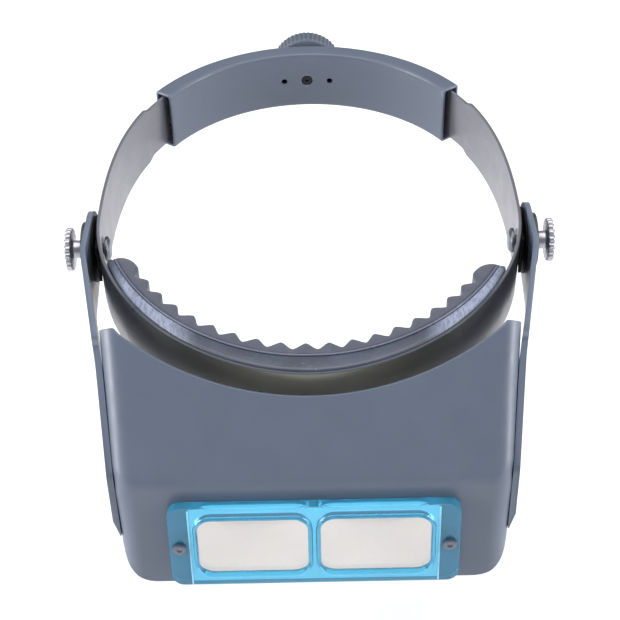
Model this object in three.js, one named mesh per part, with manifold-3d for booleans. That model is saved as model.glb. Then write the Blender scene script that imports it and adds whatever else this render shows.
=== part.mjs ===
// Head visor magnifier: a headband with a rack-and-pinion size adjuster, and a flip-up
// visor that carries a clear blue plate with two glass lenses.
//
// Millimetres, +Z up, -Y to the front (the way the wearer looks), +X to the right of
// someone facing the lenses. The origin is the middle of the head ring between the two
// visor pivots, at half the height of the band.

import * as THREE from 'three';
import { mergeVertices } from 'three/addons/utils/BufferGeometryUtils.js';
import Module from 'manifold-3d';

const wasm = await Module();
wasm.setup();

// ---------------------------------------------------------------- driving dimensions

const GAP = 0.3;                    // air left between neighbouring pieces
const rad = THREE.MathUtils.degToRad;

// headband strip: its outer face, seen from above
const BAND_HALF_WIDTH = 82.8;       // outer face at the pivots
const BAND_FRONT_Y = -86;           // outer face at the forehead
const BAND_STRAIGHT_Y = 5;          // the strip runs straight from here back to SIDE_START_Y
const SIDE_START_Y = 8;
const BAND_THICK = 1.3;
const BAND_HALF_HEIGHT = 13.7;
const BAND_END_HALF_HEIGHT = 12.0;  // narrowed ends that enter the housing
const BAND_END_LENGTH = 13;         // how far outside the mouth the strip narrows
const BAND_END_INSIDE = 5;          // arc of the strip inside the housing
const FRONT_HANDLES = [51, 39.5];   // curve handles at the side and at the forehead
const SIDE_HANDLES = [35, 25];      // curve handles at the pivot and at the housing mouth
const BAND_MOUTH_SHIFT = 0.25;      // outward from the middle of the mouth

// comfort pad inside the forehead
const LINER_THICK = 8.0;            // at the middle of the forehead
const LINER_END_THICK = 3.2;
const PAD_THICK = 5.6;
const PAD_HALF_HEIGHT = 13.6;
const PAD_START = [0.19, 0.255];    // left and right ends, as shares of the front curve

// rear housing: a curved sleeve round the back of the head
const HOUSING_CENTRE_Y = 46.5;
const HOUSING_INNER_R = 72.1;
const HOUSING_OUTER_R = 80.3;
const HOUSING_HALF_ANGLE = rad(56);
const HOUSING_HALF_HEIGHT = 13.7;
const HOUSING_WALL = 1.2;
const HOUSING_SCREW_HOLE_R = 2.6;
const HOUSING_PIN_HOLE_R = 1.4;
const HOUSING_PIN_X = 10.4;
const HOUSING_SHAFT_HOLE_R = 5.2;

// rack strips inside the housing, and the pinion between them
const RACK_THICK = 1.2;
const RACK_HALF_HEIGHT = 11.6;
const RACK_INNER_R = [74.2, 76.4];  // left rack, right rack
const RACK_MOUTH_SPACE = 9;         // arc left free between a rack's end and the mouth
const RACK_PAST_CENTRE = 19;
const SLOT_PAST_CENTRE = 14;
const SLOT_LONG_SIDE = 36;
const SLOT_PLAIN_EDGE = 5.6;
const MODULE_MM = 0.8;
const PINION_TEETH = 10;
const PITCH_R = MODULE_MM * PINION_TEETH / 2;
const TOOTH_PITCH = Math.PI * MODULE_MM;
const TOOTH_HALF = 0.46;            // half a tooth's width at the pitch line
const ADDENDUM = 0.65;
const DEDENDUM = 1.0;
const PRESSURE_ANGLE = rad(20);

// adjusting knob at the back
const KNOB_R = 15.6;
const KNOB_START_Y = 128.2;
const KNOB_LENGTH = 8.2;
const KNOB_RIBS = 36;
const KNOB_RIB_DEPTH = 0.5;
const SHAFT_R = 2.9;

// visor pivots: layers outward from the band along X
const PIVOT_HEAD = [78.6, 80.6];
const SPACER = [83.1, 83.6];
const SPACER_BACK_Y = 7;
const SPACER_HALF_HEIGHT = 8.5;
const TONGUE_X = 83.1;              // outer face of the spacer's tongue
const TONGUE_CURVE = [0.055, 0.1];  // where it starts and ends along the front curve
const FRICTION_WASHER = [83.9, 84.3];
const FRICTION_WASHER_R = 13.2;
const ARM_OUTER_X = 86.6;
const ARM_THICK = 2.0;
const DISC = [86.9, 89.1];
const HUB = [89.4, 93.3];
const WHEEL = [93.3, 96.0];
const PIVOT_SHANK_R = 2.0;
const PIVOT_HOLE_R = 2.35;
const PIVOT_HEAD_R = 4.9;
const DISC_R = 10.8;
const HUB_R = 3.6;
const WHEEL_R = 8.6;
const WHEEL_LOBES = 18;
const LOBE_FILL = 0.92;            // lobe radius, as a share of the room between lobes
const LOBE_REACH = 68;             // degrees of arc to each side, short of the next lobe

// visor: an upper face and a lower face that meet at a straight crease
const CREASE = [-110, -15.2];       // y, z
const UPPER_SLOPE = rad(52);        // from horizontal
const LOWER_TILT = rad(9.6);        // from vertical, bottom edge forward
const UPPER_LENGTH = 54.7;          // crease to the ear tips
const UPPER_AT_CENTRE = 30.1;       // crease to the top edge in the middle
const BROW_R = 106.6;               // radius of the forehead cut
const LOWER_Z = -59.3;
const VISOR_WALL = 2.2;
const VISOR_CORNER_R = 7;
const VISOR_BOTTOM_R = 12;
const CREASE_R = 12;
const VISOR_HALF_WIDTH = 68.6;      // shell, at the front
const VISOR_FLARE = 0.107;          // gain in half width for each mm towards the back
const VISOR_FLARE_Y = -112;
const SIDE_BACK_TOP = [-59, 8];
const SIDE_BACK_BOTTOM = [-97, -50];
const WINDOW_HALF_WIDTH = 43.8;
const WINDOW_TOP = 15.2;            // above the middle of the lens plate

// visor arms: bent plates outside the shell
const ARM_BEND_Y = -20;
const ARM_JOIN_Y = -80;
const ARM_END_R = 15;
const ARM_RAMP_Z = [-42, -35];      // the lower end thins out between these heights
const ARM_FOOT_THICK = 0.4;         // what is left of it below the ramp

// lens plate
const PLATE_CENTRE = [0, -118.6, -38.7];
const PLATE_WIDTH = 102;
const PLATE_HEIGHT = 35.4;
const PLATE_THICK = 4.2;
const PLATE_CORNER_R = 4.5;
const TAB_WIDTH = 7.4;
const LENS_WIDTH = 38.5;
const LENS_HEIGHT = 25;
const LENS_CORNER_R = 5;
const LENS_SPACING = 43;
const LENS_LIP = 1.2;
const LENS_SEAT = 1.1;              // how far the glass reaches behind the lip
const PLATE_SCREW_X = (PLATE_WIDTH - TAB_WIDTH) / 2;
const PLATE_SCREW_R = 1.4;
const PLATE_SCREW_HOLE_R = 1.75;
const PLATE_SCREW_HEAD_R = 2.5;

// ------------------------------------------------------------------------ materials

const finish = (color, roughness, metalness = 0, opacity = 1) => new THREE.MeshStandardMaterial({
  color, roughness, metalness, opacity, transparent: opacity < 1,
});
const paint = () => finish(0x6e7889, 0.45, 0.1);
const satinSteel = () => finish(0xa2a4b0, 0.4, 0.8);
const chrome = () => finish(0xc8c8cf, 0.18, 1);
const blackPlastic = () => finish(0x1a1c20, 0.55);

// -------------------------------------------------------------------------- helpers

const ROTATE = {
  x: new THREE.Matrix4().makeBasis(   // shape (y, z), depth along +X
    new THREE.Vector3(0, 1, 0), new THREE.Vector3(0, 0, 1), new THREE.Vector3(1, 0, 0)),
  y: new THREE.Matrix4().makeBasis(   // shape (x, z), depth along -Y
    new THREE.Vector3(1, 0, 0), new THREE.Vector3(0, 0, 1), new THREE.Vector3(0, -1, 0)),
  z: new THREE.Matrix4(),             // shape (x, y), depth along +Z
};

// One closed triangle mesh: vertices merged, empty triangles dropped, faces outward.
function closed(geometry) {
  geometry.deleteAttribute('normal');
  geometry.deleteAttribute('uv');
  const merged = mergeVertices(geometry, 1e-4);
  const p = merged.attributes.position;
  const index = [];
  let volume = 0;
  const a = new THREE.Vector3();
  const b = new THREE.Vector3();
  const c = new THREE.Vector3();
  for (let i = 0; i < merged.index.count; i += 3) {
    const t = [0, 1, 2].map((k) => merged.index.getX(i + k));
    if (t[0] === t[1] || t[1] === t[2] || t[2] === t[0]) continue;
    index.push(...t);
    volume += a.fromBufferAttribute(p, t[0]).dot(
      b.fromBufferAttribute(p, t[1]).cross(c.fromBufferAttribute(p, t[2])));
  }
  if (volume < 0) index.reverse();
  merged.setIndex(index);
  return merged;
}

function solid(geometry) {
  const g = closed(geometry);
  return new wasm.Manifold(new wasm.Mesh({
    numProp: 3,
    vertProperties: new Float32Array(g.attributes.position.array),
    triVerts: new Uint32Array(g.index.array),
  }));
}

function geometryOf(manifold) {
  const mesh = manifold.getMesh();
  const g = new THREE.BufferGeometry();
  g.setAttribute('position', new THREE.BufferAttribute(mesh.vertProperties, 3));
  g.setIndex(new THREE.BufferAttribute(mesh.triVerts, 1));
  return g;
}

// A shape extruded along an axis, starting at `from`.
function prism(shape, axis, from, depth, curveSegments = 12) {
  const g = new THREE.ExtrudeGeometry(shape, { depth, bevelEnabled: false, curveSegments });
  g.translate(0, 0, axis === 'y' ? -from : from);
  if (axis === 'y') g.translate(0, 0, -depth);
  return g.applyMatrix4(ROTATE[axis]);
}

// A solid of revolution about X; `profile` is a list of [x, radius].
function turned(profile, segments = 24) {
  const points = profile.map(([x, r]) => new THREE.Vector2(r, x));
  const g = new THREE.LatheGeometry(points, segments);
  return g.applyMatrix4(new THREE.Matrix4().makeRotationZ(-Math.PI / 2));
}

function cylinder(axis, radius, from, to, segments = 12) {
  const shape = new THREE.Shape().absarc(0, 0, radius, 0, 2 * Math.PI);
  return prism(shape, axis, from, to - from, segments);
}

function roundedRect(width, height, r) {
  const [x, y] = [width / 2, height / 2];
  const s = new THREE.Shape();
  s.absarc(x - r, y - r, r, 0, Math.PI / 2);
  s.absarc(-x + r, y - r, r, Math.PI / 2, Math.PI);
  s.absarc(-x + r, -y + r, r, Math.PI, 1.5 * Math.PI);
  s.absarc(x - r, -y + r, r, 1.5 * Math.PI, 2 * Math.PI);
  return s;
}

function polygon(points) {
  return new THREE.Shape(points.map(([x, y]) => new THREE.Vector2(x, y)));
}

const group = new THREE.Group();

function add(name, geometry, material, parent = group) {
  const mesh = new THREE.Mesh(geometry, material);
  mesh.name = name;
  parent.add(mesh);
  return mesh;
}

// The same geometry on the other side of the YZ plane.
function mirrored(geometry) {
  const g = geometry.clone();
  g.scale(-1, 1, 1);
  return closed(g);
}

// ------------------------------------------------------- headband strip, liner and pad

const frontCurve = new THREE.CubicBezierCurve(
  new THREE.Vector2(BAND_HALF_WIDTH, BAND_STRAIGHT_Y),
  new THREE.Vector2(BAND_HALF_WIDTH, BAND_STRAIGHT_Y - FRONT_HANDLES[0]),
  new THREE.Vector2(FRONT_HANDLES[1], BAND_FRONT_Y),
  new THREE.Vector2(0, BAND_FRONT_Y));

// The strip enters the mouth of the housing between its walls.
const mouthR = (HOUSING_INNER_R + HOUSING_OUTER_R + BAND_THICK) / 2 + BAND_MOUTH_SHIFT;
const mouthDirection = new THREE.Vector2(
  Math.cos(HOUSING_HALF_ANGLE), -Math.sin(HOUSING_HALF_ANGLE));
const mouthPoint = new THREE.Vector2(
  mouthR * Math.sin(HOUSING_HALF_ANGLE),
  HOUSING_CENTRE_Y + mouthR * Math.cos(HOUSING_HALF_ANGLE));
const sideCurve = new THREE.CubicBezierCurve(
  mouthPoint,
  mouthPoint.clone().addScaledVector(mouthDirection, SIDE_HANDLES[1]),
  new THREE.Vector2(BAND_HALF_WIDTH, SIDE_START_Y + SIDE_HANDLES[0]),
  new THREE.Vector2(BAND_HALF_WIDTH, SIDE_START_Y));

// Points on a curve moved inward by depth(t), where inward is to its right.
function offset(curve, depth, from, to, steps) {
  const out = [];
  for (let i = 0; i <= steps; i += 1) {
    const t = from + (to - from) * i / steps;
    const p = curve.getPoint(t);
    const d = curve.getTangent(t);
    out.push([p.x + d.y * depth(t), p.y - d.x * depth(t)]);
  }
  return out;
}

const inset = (curve, distance, ...range) => offset(curve, () => distance, ...range);

// The closed outline of a strip: the right half, then its mirror image.
function stripOutline(outer, inner) {
  const flip = (points) => points.map(([x, y]) => [-x, y]).reverse();
  const whole = (points) => points.concat(flip(points.slice(0, -1)));
  return polygon(whole(outer).concat(whole(inner).reverse()));
}

// Where the strip's narrow end stops, inside the housing.
const insideAngle = HOUSING_HALF_ANGLE - BAND_END_INSIDE / mouthR;

function bandPath(distance) {
  const r = mouthR - distance;
  const end = [r * Math.sin(insideAngle), HOUSING_CENTRE_Y + r * Math.cos(insideAngle)];
  return [end].concat(inset(sideCurve, distance, 0, 1, 10), inset(frontCurve, distance, 0, 1, 14));
}

function headbandStrip() {
  const outline = stripOutline(bandPath(0), bandPath(BAND_THICK));
  const strip = solid(prism(outline, 'z', -BAND_HALF_HEIGHT, 2 * BAND_HALF_HEIGHT));
  const holes = solid(cylinder('x', PIVOT_HOLE_R, -100, 100));
  let cut = strip.subtract(holes);

  // each end is narrowed above and below, with a short slope where it starts
  const start = mouthPoint.y - BAND_END_LENGTH;
  for (const side of [-1, 1]) {
    const notch = polygon([[start, side * (BAND_HALF_HEIGHT + 1)],
      [start, side * BAND_HALF_HEIGHT], [start + 3, side * BAND_END_HALF_HEIGHT],
      [start + 60, side * BAND_END_HALF_HEIGHT], [start + 60, side * (BAND_HALF_HEIGHT + 1)]]);
    cut = cut.subtract(solid(prism(notch, 'x', -100, 200)));
  }
  return geometryOf(cut);
}

// A piece inside the strip, from outer(start)(t) to inner(start)(t) deep, where `start` is
// the piece's end on that side.
function forehead(outer, inner) {
  const path = (depth) => {
    const [left, right] = PAD_START.map((start) => offset(frontCurve, depth(start), start, 1, 14));
    return right.concat(left.slice(0, -1).map(([x, y]) => [-x, y]).reverse());
  };
  const outline = polygon(path(outer).concat(path(inner).reverse()));
  return closed(prism(outline, 'z', -PAD_HALF_HEIGHT, 2 * PAD_HALF_HEIGHT));
}

// The liner thins out from the middle of the forehead to its ends.
const linerOuter = () => () => BAND_THICK + GAP;
const linerInner = (start) => (t) => {
  const share = (1 - t) / (1 - start);
  return BAND_THICK + GAP + LINER_THICK - (LINER_THICK - LINER_END_THICK) * share ** 1.2;
};
const padOuter = (start) => (t) => linerInner(start)(t) + GAP;
const padInner = (start) => (t) => padOuter(start)(t) + PAD_THICK;
add('headband_strip', headbandStrip(), satinSteel());
add('pad_liner', forehead(linerOuter, linerInner), finish(0x434a5c, 0.35));
add('comfort_pad', forehead(padOuter, padInner), finish(0x505667, 0.85));

// ----------------------------------------------------------------- rear housing sleeve

function ringSector(innerR, outerR, fromAngle, toAngle, halfHeight, segments) {
  const arc = (r, from, to) => {
    const out = [];
    for (let i = 0; i <= segments; i += 1) {
      const a = from + (to - from) * i / segments;
      out.push([r * Math.sin(a), HOUSING_CENTRE_Y + r * Math.cos(a)]);
    }
    return out;
  };
  const outline = arc(outerR, fromAngle, toAngle).concat(arc(innerR, toAngle, fromAngle));
  return prism(polygon(outline), 'z', -halfHeight, 2 * halfHeight);
}

const backY = (r) => HOUSING_CENTRE_Y + r;

function rearHousing() {
  const slotAngle = HOUSING_HALF_ANGLE + rad(4);
  const sleeve = solid(ringSector(HOUSING_INNER_R, HOUSING_OUTER_R,
    -HOUSING_HALF_ANGLE, HOUSING_HALF_ANGLE, HOUSING_HALF_HEIGHT, 32));
  const slot = solid(ringSector(HOUSING_INNER_R + HOUSING_WALL, HOUSING_OUTER_R - HOUSING_WALL,
    -slotAngle, slotAngle, HOUSING_HALF_HEIGHT - HOUSING_WALL, 32));
  const middle = backY((HOUSING_INNER_R + HOUSING_OUTER_R) / 2);
  const screwHole = solid(cylinder('y', HOUSING_SCREW_HOLE_R, backY(0) + 60, middle));
  const shaftHole = solid(cylinder('y', HOUSING_SHAFT_HOLE_R, middle, backY(90)));
  let housing = sleeve.subtract(slot).subtract(screwHole).subtract(shaftHole);
  for (const side of [-1, 1]) {
    const pinHole = cylinder('y', HOUSING_PIN_HOLE_R, backY(0) + 60, middle, 12);
    housing = housing.subtract(solid(pinHole.translate(side * HOUSING_PIN_X, 0, 0)));
  }
  return geometryOf(housing);
}

add('rear_housing', rearHousing(), paint());

// ------------------------------------------------------- racks, pinion, knob and screw

// One tooth of a rack as x offsets and heights above its pitch line.
const flank = (height) => TOOTH_HALF - height * Math.tan(PRESSURE_ANGLE);
const RACK_TOOTH = [
  [-flank(-DEDENDUM), -DEDENDUM], [-flank(ADDENDUM), ADDENDUM],
  [flank(ADDENDUM), ADDENDUM], [flank(-DEDENDUM), -DEDENDUM]];

// The slot that the pinion turns in: a plain edge and a toothed edge. `toothSide` is +1
// when the teeth are above the pinion, and the long end of the slot is on `longSide`.
function rackSlot(middleR, longSide, toothSide) {
  const ends = longSide < 0 ? [-SLOT_LONG_SIDE, SLOT_PAST_CENTRE] : [-SLOT_PAST_CENTRE, SLOT_LONG_SIDE];
  const along = (arc) => middleR * Math.sin(arc / middleR);
  const first = Math.ceil((ends[0] + TOOTH_PITCH) / TOOTH_PITCH);
  const last = Math.floor((ends[1] - TOOTH_PITCH) / TOOTH_PITCH);
  const root = PITCH_R + DEDENDUM;
  const edge = [[along(ends[0]), toothSide * root]];
  for (let k = first; k <= last; k += 1) {
    for (const [offset, height] of RACK_TOOTH) {
      // pinion tooth 0 points straight at the rack, so a rack space is centred there
      const arc = (k + 0.5) * TOOTH_PITCH + offset;
      edge.push([along(arc), toothSide * (PITCH_R - height)]);
    }
  }
  edge.push([along(ends[1]), toothSide * root]);
  edge.push([along(ends[1]), -toothSide * SLOT_PLAIN_EDGE]);
  edge.push([along(ends[0]), -toothSide * SLOT_PLAIN_EDGE]);
  return polygon(edge);
}

function rack(innerR, side, toothSide) {
  const middleR = innerR + RACK_THICK / 2;
  const farEnd = side * (HOUSING_HALF_ANGLE - RACK_MOUTH_SPACE / middleR);
  const nearEnd = -side * RACK_PAST_CENTRE / middleR;
  const strip = solid(ringSector(innerR, innerR + RACK_THICK,
    Math.min(nearEnd, farEnd), Math.max(nearEnd, farEnd), RACK_HALF_HEIGHT, 22));
  const slot = solid(prism(rackSlot(middleR, side, toothSide), 'y', backY(0) + 40, 50));
  return geometryOf(strip.subtract(slot));
}

add('left_rack', rack(RACK_INNER_R[0], -1, 1), satinSteel());
add('right_rack', rack(RACK_INNER_R[1], 1, -1), satinSteel());

// The pinion and its shaft are one turned piece; its bore takes the inner screw.
const pinionFrom = backY(RACK_INNER_R[0] - 0.3);
const pinionTo = backY(RACK_INNER_R[1] + RACK_THICK + 0.3);
const screwHeadFrom = backY(HOUSING_INNER_R) + 0.3;
const screwHeadTo = pinionFrom - GAP;

function pinion() {
  const outline = [];
  for (let k = 0; k < PINION_TEETH; k += 1) {
    const middle = Math.PI / 2 + 2 * Math.PI * k / PINION_TEETH;
    const corners = [[-0.21, PITCH_R - DEDENDUM], [-0.115, PITCH_R], [-0.05, PITCH_R + ADDENDUM],
      [0.05, PITCH_R + ADDENDUM], [0.115, PITCH_R], [0.21, PITCH_R - DEDENDUM]];
    for (const [angle, r] of corners) {
      outline.push([r * Math.cos(middle + angle), r * Math.sin(middle + angle)]);
    }
  }
  const teeth = solid(prism(polygon(outline), 'y', pinionFrom, pinionTo - pinionFrom));
  const shaft = solid(cylinder('y', SHAFT_R, pinionFrom + 0.5, KNOB_START_Y + 4.5));
  const bore = solid(cylinder('y', 1.6, pinionFrom - 1, KNOB_START_Y, 8));
  return geometryOf(teeth.add(shaft).subtract(bore));
}

function adjustKnob() {
  const outline = [];
  for (let k = 0; k < KNOB_RIBS; k += 1) {
    const step = 2 * Math.PI / KNOB_RIBS;
    for (const [share, r] of [[0.1, KNOB_R], [0.4, KNOB_R], [0.6, KNOB_R - KNOB_RIB_DEPTH],
      [0.9, KNOB_R - KNOB_RIB_DEPTH]]) {
      outline.push([r * Math.cos((k + share) * step), r * Math.sin((k + share) * step)]);
    }
  }
  const body = solid(prism(polygon(outline), 'y', KNOB_START_Y, KNOB_LENGTH));
  const bore = solid(cylinder('y', SHAFT_R + GAP, KNOB_START_Y - 1, KNOB_START_Y + 4.8));
  return geometryOf(body.subtract(bore));
}

function ringY(innerR, outerR, from, to) {
  const shape = new THREE.Shape().absarc(0, 0, outerR, 0, 2 * Math.PI);
  shape.holes.push(new THREE.Path().absarc(0, 0, innerR, 0, 2 * Math.PI, true));
  return closed(prism(shape, 'y', from, to - from, 14));
}

function adjustScrew() {
  const head = solid(cylinder('y', 2.2, screwHeadFrom, screwHeadTo));
  const shank = solid(cylinder('y', 1.25, screwHeadTo - 0.2, KNOB_START_Y - 1, 8));
  const drive = solid(cylinder('y', 0.9, screwHeadFrom - 1, screwHeadFrom + 0.6, 3));
  return geometryOf(head.add(shank).subtract(drive));
}

add('pinion', pinion(), finish(0xb9bac2, 0.35, 0.9));
add('adjust_knob', adjustKnob(), finish(0x5c6472, 0.5));
add('adjust_screw', adjustScrew(), chrome());
add('knob_washer', ringY(SHAFT_R + GAP, 8, backY(HOUSING_OUTER_R) + GAP, KNOB_START_Y - GAP),
  satinSteel());

// ------------------------------------------------------------------------ visor shell

// Points of the front line from the ear tips to the lower edge, with a rounded crease.
const upperUp = [Math.cos(UPPER_SLOPE), Math.sin(UPPER_SLOPE)];
const upperInward = [Math.sin(UPPER_SLOPE), -Math.cos(UPPER_SLOPE)];
const lowerDown = [-Math.sin(LOWER_TILT), -Math.cos(LOWER_TILT)];
const lowerInward = [Math.cos(LOWER_TILT), -Math.sin(LOWER_TILT)];
const onUpper = (s, n = 0) => [0, 1].map((i) => CREASE[i] + s * upperUp[i] + n * upperInward[i]);
const onLower = (s, n = 0) => [0, 1].map((i) => CREASE[i] + s * lowerDown[i] + n * lowerInward[i]);
const lowerLength = (CREASE[1] - LOWER_Z) / Math.cos(LOWER_TILT);

function frontLine() {
  const bend = Math.PI / 2 - UPPER_SLOPE - LOWER_TILT;
  const reach = CREASE_R * Math.tan(bend / 2);
  const points = [0, 0.33, 0.67].map((f) => ({
    at: onUpper(UPPER_LENGTH + (reach - UPPER_LENGTH) * f), inward: upperInward }));
  const centre = onUpper(reach, CREASE_R);
  for (let i = 0; i <= 4; i += 1) {
    const a = UPPER_SLOPE - Math.PI / 2 + bend * i / 4;
    const inward = [Math.cos(a), Math.sin(a)];
    points.push({ at: [centre[0] - CREASE_R * inward[0], centre[1] - CREASE_R * inward[1]], inward });
  }
  for (const f of [0.5, 1]) {
    points.push({ at: onLower(reach + (lowerLength - reach) * f), inward: lowerInward });
  }
  return points;
}

const halfWidth = (y) => VISOR_HALF_WIDTH + VISOR_FLARE * Math.max(0, y - VISOR_FLARE_Y);

// One cross-section of the shell: a U of wall thickness VISOR_WALL, open to the back.
function shellSection(front, back, inward) {
  const depth = Math.hypot(back[0] - front[0], back[1] - front[1]);
  const dir = [(back[0] - front[0]) / depth, (back[1] - front[1]) / depth];
  const wall = VISOR_WALL / (dir[0] * inward[0] + dir[1] * inward[1]);
  const place = (side, x, tau) => {
    const y = front[0] + dir[0] * tau;
    return new THREE.Vector3(side * (x + halfWidth(y)), y, front[1] + dir[1] * tau);
  };
  const edge = (side, x0, tau0, r) => {
    const out = [place(side, x0, depth)];
    for (let i = 0; i <= 6; i += 1) {
      const a = Math.PI / 2 * (1 - i / 6);
      out.push(place(side, x0 - r + r * Math.sin(a),
        tau0 + (VISOR_CORNER_R - tau0) * (1 - Math.cos(a))));
    }
    return out;
  };
  const outer = edge(1, 0, 0, VISOR_CORNER_R).concat(edge(-1, 0, 0, VISOR_CORNER_R).reverse());
  const innerR = VISOR_CORNER_R - VISOR_WALL;
  const inner = edge(1, -VISOR_WALL, wall, innerR)
    .concat(edge(-1, -VISOR_WALL, wall, innerR).reverse());
  return outer.concat(inner.reverse());
}

function loft(sections) {
  const n = sections[0].length;
  const positions = sections.flat().flatMap((p) => [p.x, p.y, p.z]);
  const index = [];
  for (let j = 0; j + 1 < sections.length; j += 1) {
    for (let i = 0; i < n; i += 1) {
      const a = j * n + i;
      const b = j * n + (i + 1) % n;
      index.push(a, b, b + n, a, b + n, a + n);
    }
  }
  const end = (sections.length - 1) * n;
  for (let i = 0; i < n / 2 - 1; i += 1) {
    const [a, b, c, d] = [i, i + 1, n - 2 - i, n - 1 - i];
    index.push(a, c, b, a, d, c);
    index.push(end + a, end + b, end + c, end + a, end + c, end + d);
  }
  const g = new THREE.BufferGeometry();
  g.setAttribute('position', new THREE.Float32BufferAttribute(positions, 3));
  g.setIndex(index);
  return g;
}

// Moves a solid drawn flat in front of the plate's middle onto the plate's tilted plane.
const plateMatrix = new THREE.Matrix4().makeRotationX(-LOWER_TILT).setPosition(...PLATE_CENTRE);

function visorShell() {
  const line = frontLine();
  const last = line.length - 1;
  const sections = line.map(({ at, inward }, j) => {
    const f = j / last;
    const back = [0, 1].map((i) => SIDE_BACK_TOP[i] + (SIDE_BACK_BOTTOM[i] - SIDE_BACK_TOP[i]) * f);
    return shellSection(at, back, inward);
  });
  let shell = solid(loft(sections));

  // the forehead cut, square to the upper face
  const brow = cylinder('z', BROW_R, -12, 12, 72);
  const browCentre = onUpper(UPPER_AT_CENTRE + BROW_R);
  brow.applyMatrix4(new THREE.Matrix4().makeRotationX(UPPER_SLOPE)
    .setPosition(0, browCentre[0], browCentre[1]));
  shell = shell.subtract(solid(brow));

  // rounded lower corners
  for (const side of [-1, 1]) {
    const corner = new THREE.Shape();
    const inX = VISOR_HALF_WIDTH - VISOR_BOTTOM_R;
    corner.moveTo(side * inX, LOWER_Z - 5);
    corner.lineTo(side * inX, LOWER_Z);
    corner.absarc(side * inX, LOWER_Z + VISOR_BOTTOM_R, VISOR_BOTTOM_R,
      -Math.PI / 2, side > 0 ? 0 : -Math.PI, side < 0);
    corner.lineTo(side * (VISOR_HALF_WIDTH + 20), LOWER_Z + VISOR_BOTTOM_R);
    corner.lineTo(side * (VISOR_HALF_WIDTH + 20), LOWER_Z - 5);
    shell = shell.subtract(solid(prism(corner, 'y', -140, 80)));
  }

  // the window behind the lenses, open at the lower edge, and the two screw holes
  const window = prism(polygon([[-WINDOW_HALF_WIDTH, -40], [WINDOW_HALF_WIDTH, -40],
    [WINDOW_HALF_WIDTH, WINDOW_TOP], [-WINDOW_HALF_WIDTH, WINDOW_TOP]]), 'y', -5, 25);
  shell = shell.subtract(solid(window.applyMatrix4(plateMatrix)));
  for (const side of [-1, 1]) {
    const hole = cylinder('y', PLATE_SCREW_HOLE_R, -5, 20, 8);
    hole.translate(side * PLATE_SCREW_X, 0, 0).applyMatrix4(plateMatrix);
    shell = shell.subtract(solid(hole));
  }
  return geometryOf(shell);
}

add('visor_shell', visorShell(), paint());

// ------------------------------------------------------------------------- visor arms

const armSlope = (ARM_OUTER_X - (halfWidth(ARM_JOIN_Y) + GAP + ARM_THICK)) / (ARM_BEND_Y - ARM_JOIN_Y);
const ARM_LINE = [                  // outer face seen from above: y, x
  [20, ARM_OUTER_X],
  [ARM_BEND_Y, ARM_OUTER_X],
  [ARM_JOIN_Y, ARM_OUTER_X - armSlope * (ARM_BEND_Y - ARM_JOIN_Y)],
  [VISOR_FLARE_Y, VISOR_HALF_WIDTH + GAP + ARM_THICK],
];

// The arm's side view: a round end at the pivot, widening to the side of the shell.
function armSideView() {
  const topFront = onUpper(49.5, 4);
  const creaseFront = [CREASE[0] + 4.4, CREASE[1] - 0.6];
  const lowFront = onLower(26.5, 4.2);
  const lowBack = onLower(27, 12);
  const s = new THREE.Shape();
  s.absarc(0, 0, ARM_END_R, rad(-97), rad(96));
  s.lineTo(topFront[0] + 5, topFront[1] + 0.6);
  s.quadraticCurveTo(topFront[0], topFront[1], topFront[0] - 2.2, topFront[1] - 3.2);
  s.lineTo(...creaseFront);
  s.lineTo(...lowFront);
  s.lineTo(...lowBack);
  s.lineTo(-62, -29);
  return s;
}

// What is cut from the arm's lower end, so that it slopes down to the shell.
function armRamp() {
  const [low, high] = ARM_RAMP_Z;
  const beyond = 5;
  const foot = ARM_FOOT_THICK - ARM_THICK;
  const wedge = prism(polygon([[0, high], [beyond, high], [beyond, low - beyond],
    [foot, low - beyond], [foot, low]]), 'y', -beyond, 60);
  wedge.rotateZ(-Math.atan(VISOR_FLARE));
  return solid(wedge.translate(VISOR_HALF_WIDTH + GAP + ARM_THICK, VISOR_FLARE_Y, 0));
}

function arm() {
  const plan = ARM_LINE.map(([y, x]) => [x, y])
    .concat(ARM_LINE.map(([y, x]) => [x - ARM_THICK, y]).reverse());
  const plate = solid(prism(polygon(plan), 'z', -60, 120));
  const side = solid(prism(armSideView(), 'x', 50, 60, 20));
  const hole = solid(cylinder('x', PIVOT_HOLE_R, 50, 110));
  return geometryOf(plate.intersect(side).subtract(hole).subtract(armRamp()));
}

const rightArm = arm();
add('left_arm', mirrored(rightArm), paint());
add('right_arm', rightArm, paint());

// --------------------------------------------------------------------- pivot hardware

function pivotScrew() {
  const [from, to] = PIVOT_HEAD;
  const body = solid(turned([[from, 0], [from, PIVOT_HEAD_R - 0.8], [from + 0.8, PIVOT_HEAD_R],
    [to, PIVOT_HEAD_R], [to, PIVOT_SHANK_R], [WHEEL[1] - 1.6, PIVOT_SHANK_R], [WHEEL[1] - 1.6, 0]]));
  const slot = solid(new THREE.BoxGeometry(1.4, 1.2, 12).translate(from, 0, 0));
  return geometryOf(body.subtract(slot));
}

// A moulded block that fills the space between the curved band and the flat arm, with a
// tongue along the band towards the front.
function pivotSpacer() {
  const alongBand = inset(frontCurve, -GAP, 0, TONGUE_CURVE[1], 6);
  const [tongueStartY, tongueEndY] = TONGUE_CURVE.map((t) => frontCurve.getPoint(t).y);
  const outline = [[SPACER[1], SPACER_BACK_Y], [SPACER[0], SPACER_BACK_Y]].concat(alongBand, [
    [TONGUE_X, tongueEndY], [TONGUE_X, tongueStartY], [SPACER[1], tongueStartY]]);
  const block = solid(prism(polygon(outline), 'z', -SPACER_HALF_HEIGHT, 2 * SPACER_HALF_HEIGHT));
  return geometryOf(block.subtract(solid(cylinder('x', PIVOT_HOLE_R, 70, 100))));
}

function washer([from, to], innerR, outerR) {
  return closed(turned([[from, innerR], [to, innerR], [to, outerR], [from, outerR],
    [from, innerR]], 28));
}

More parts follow.
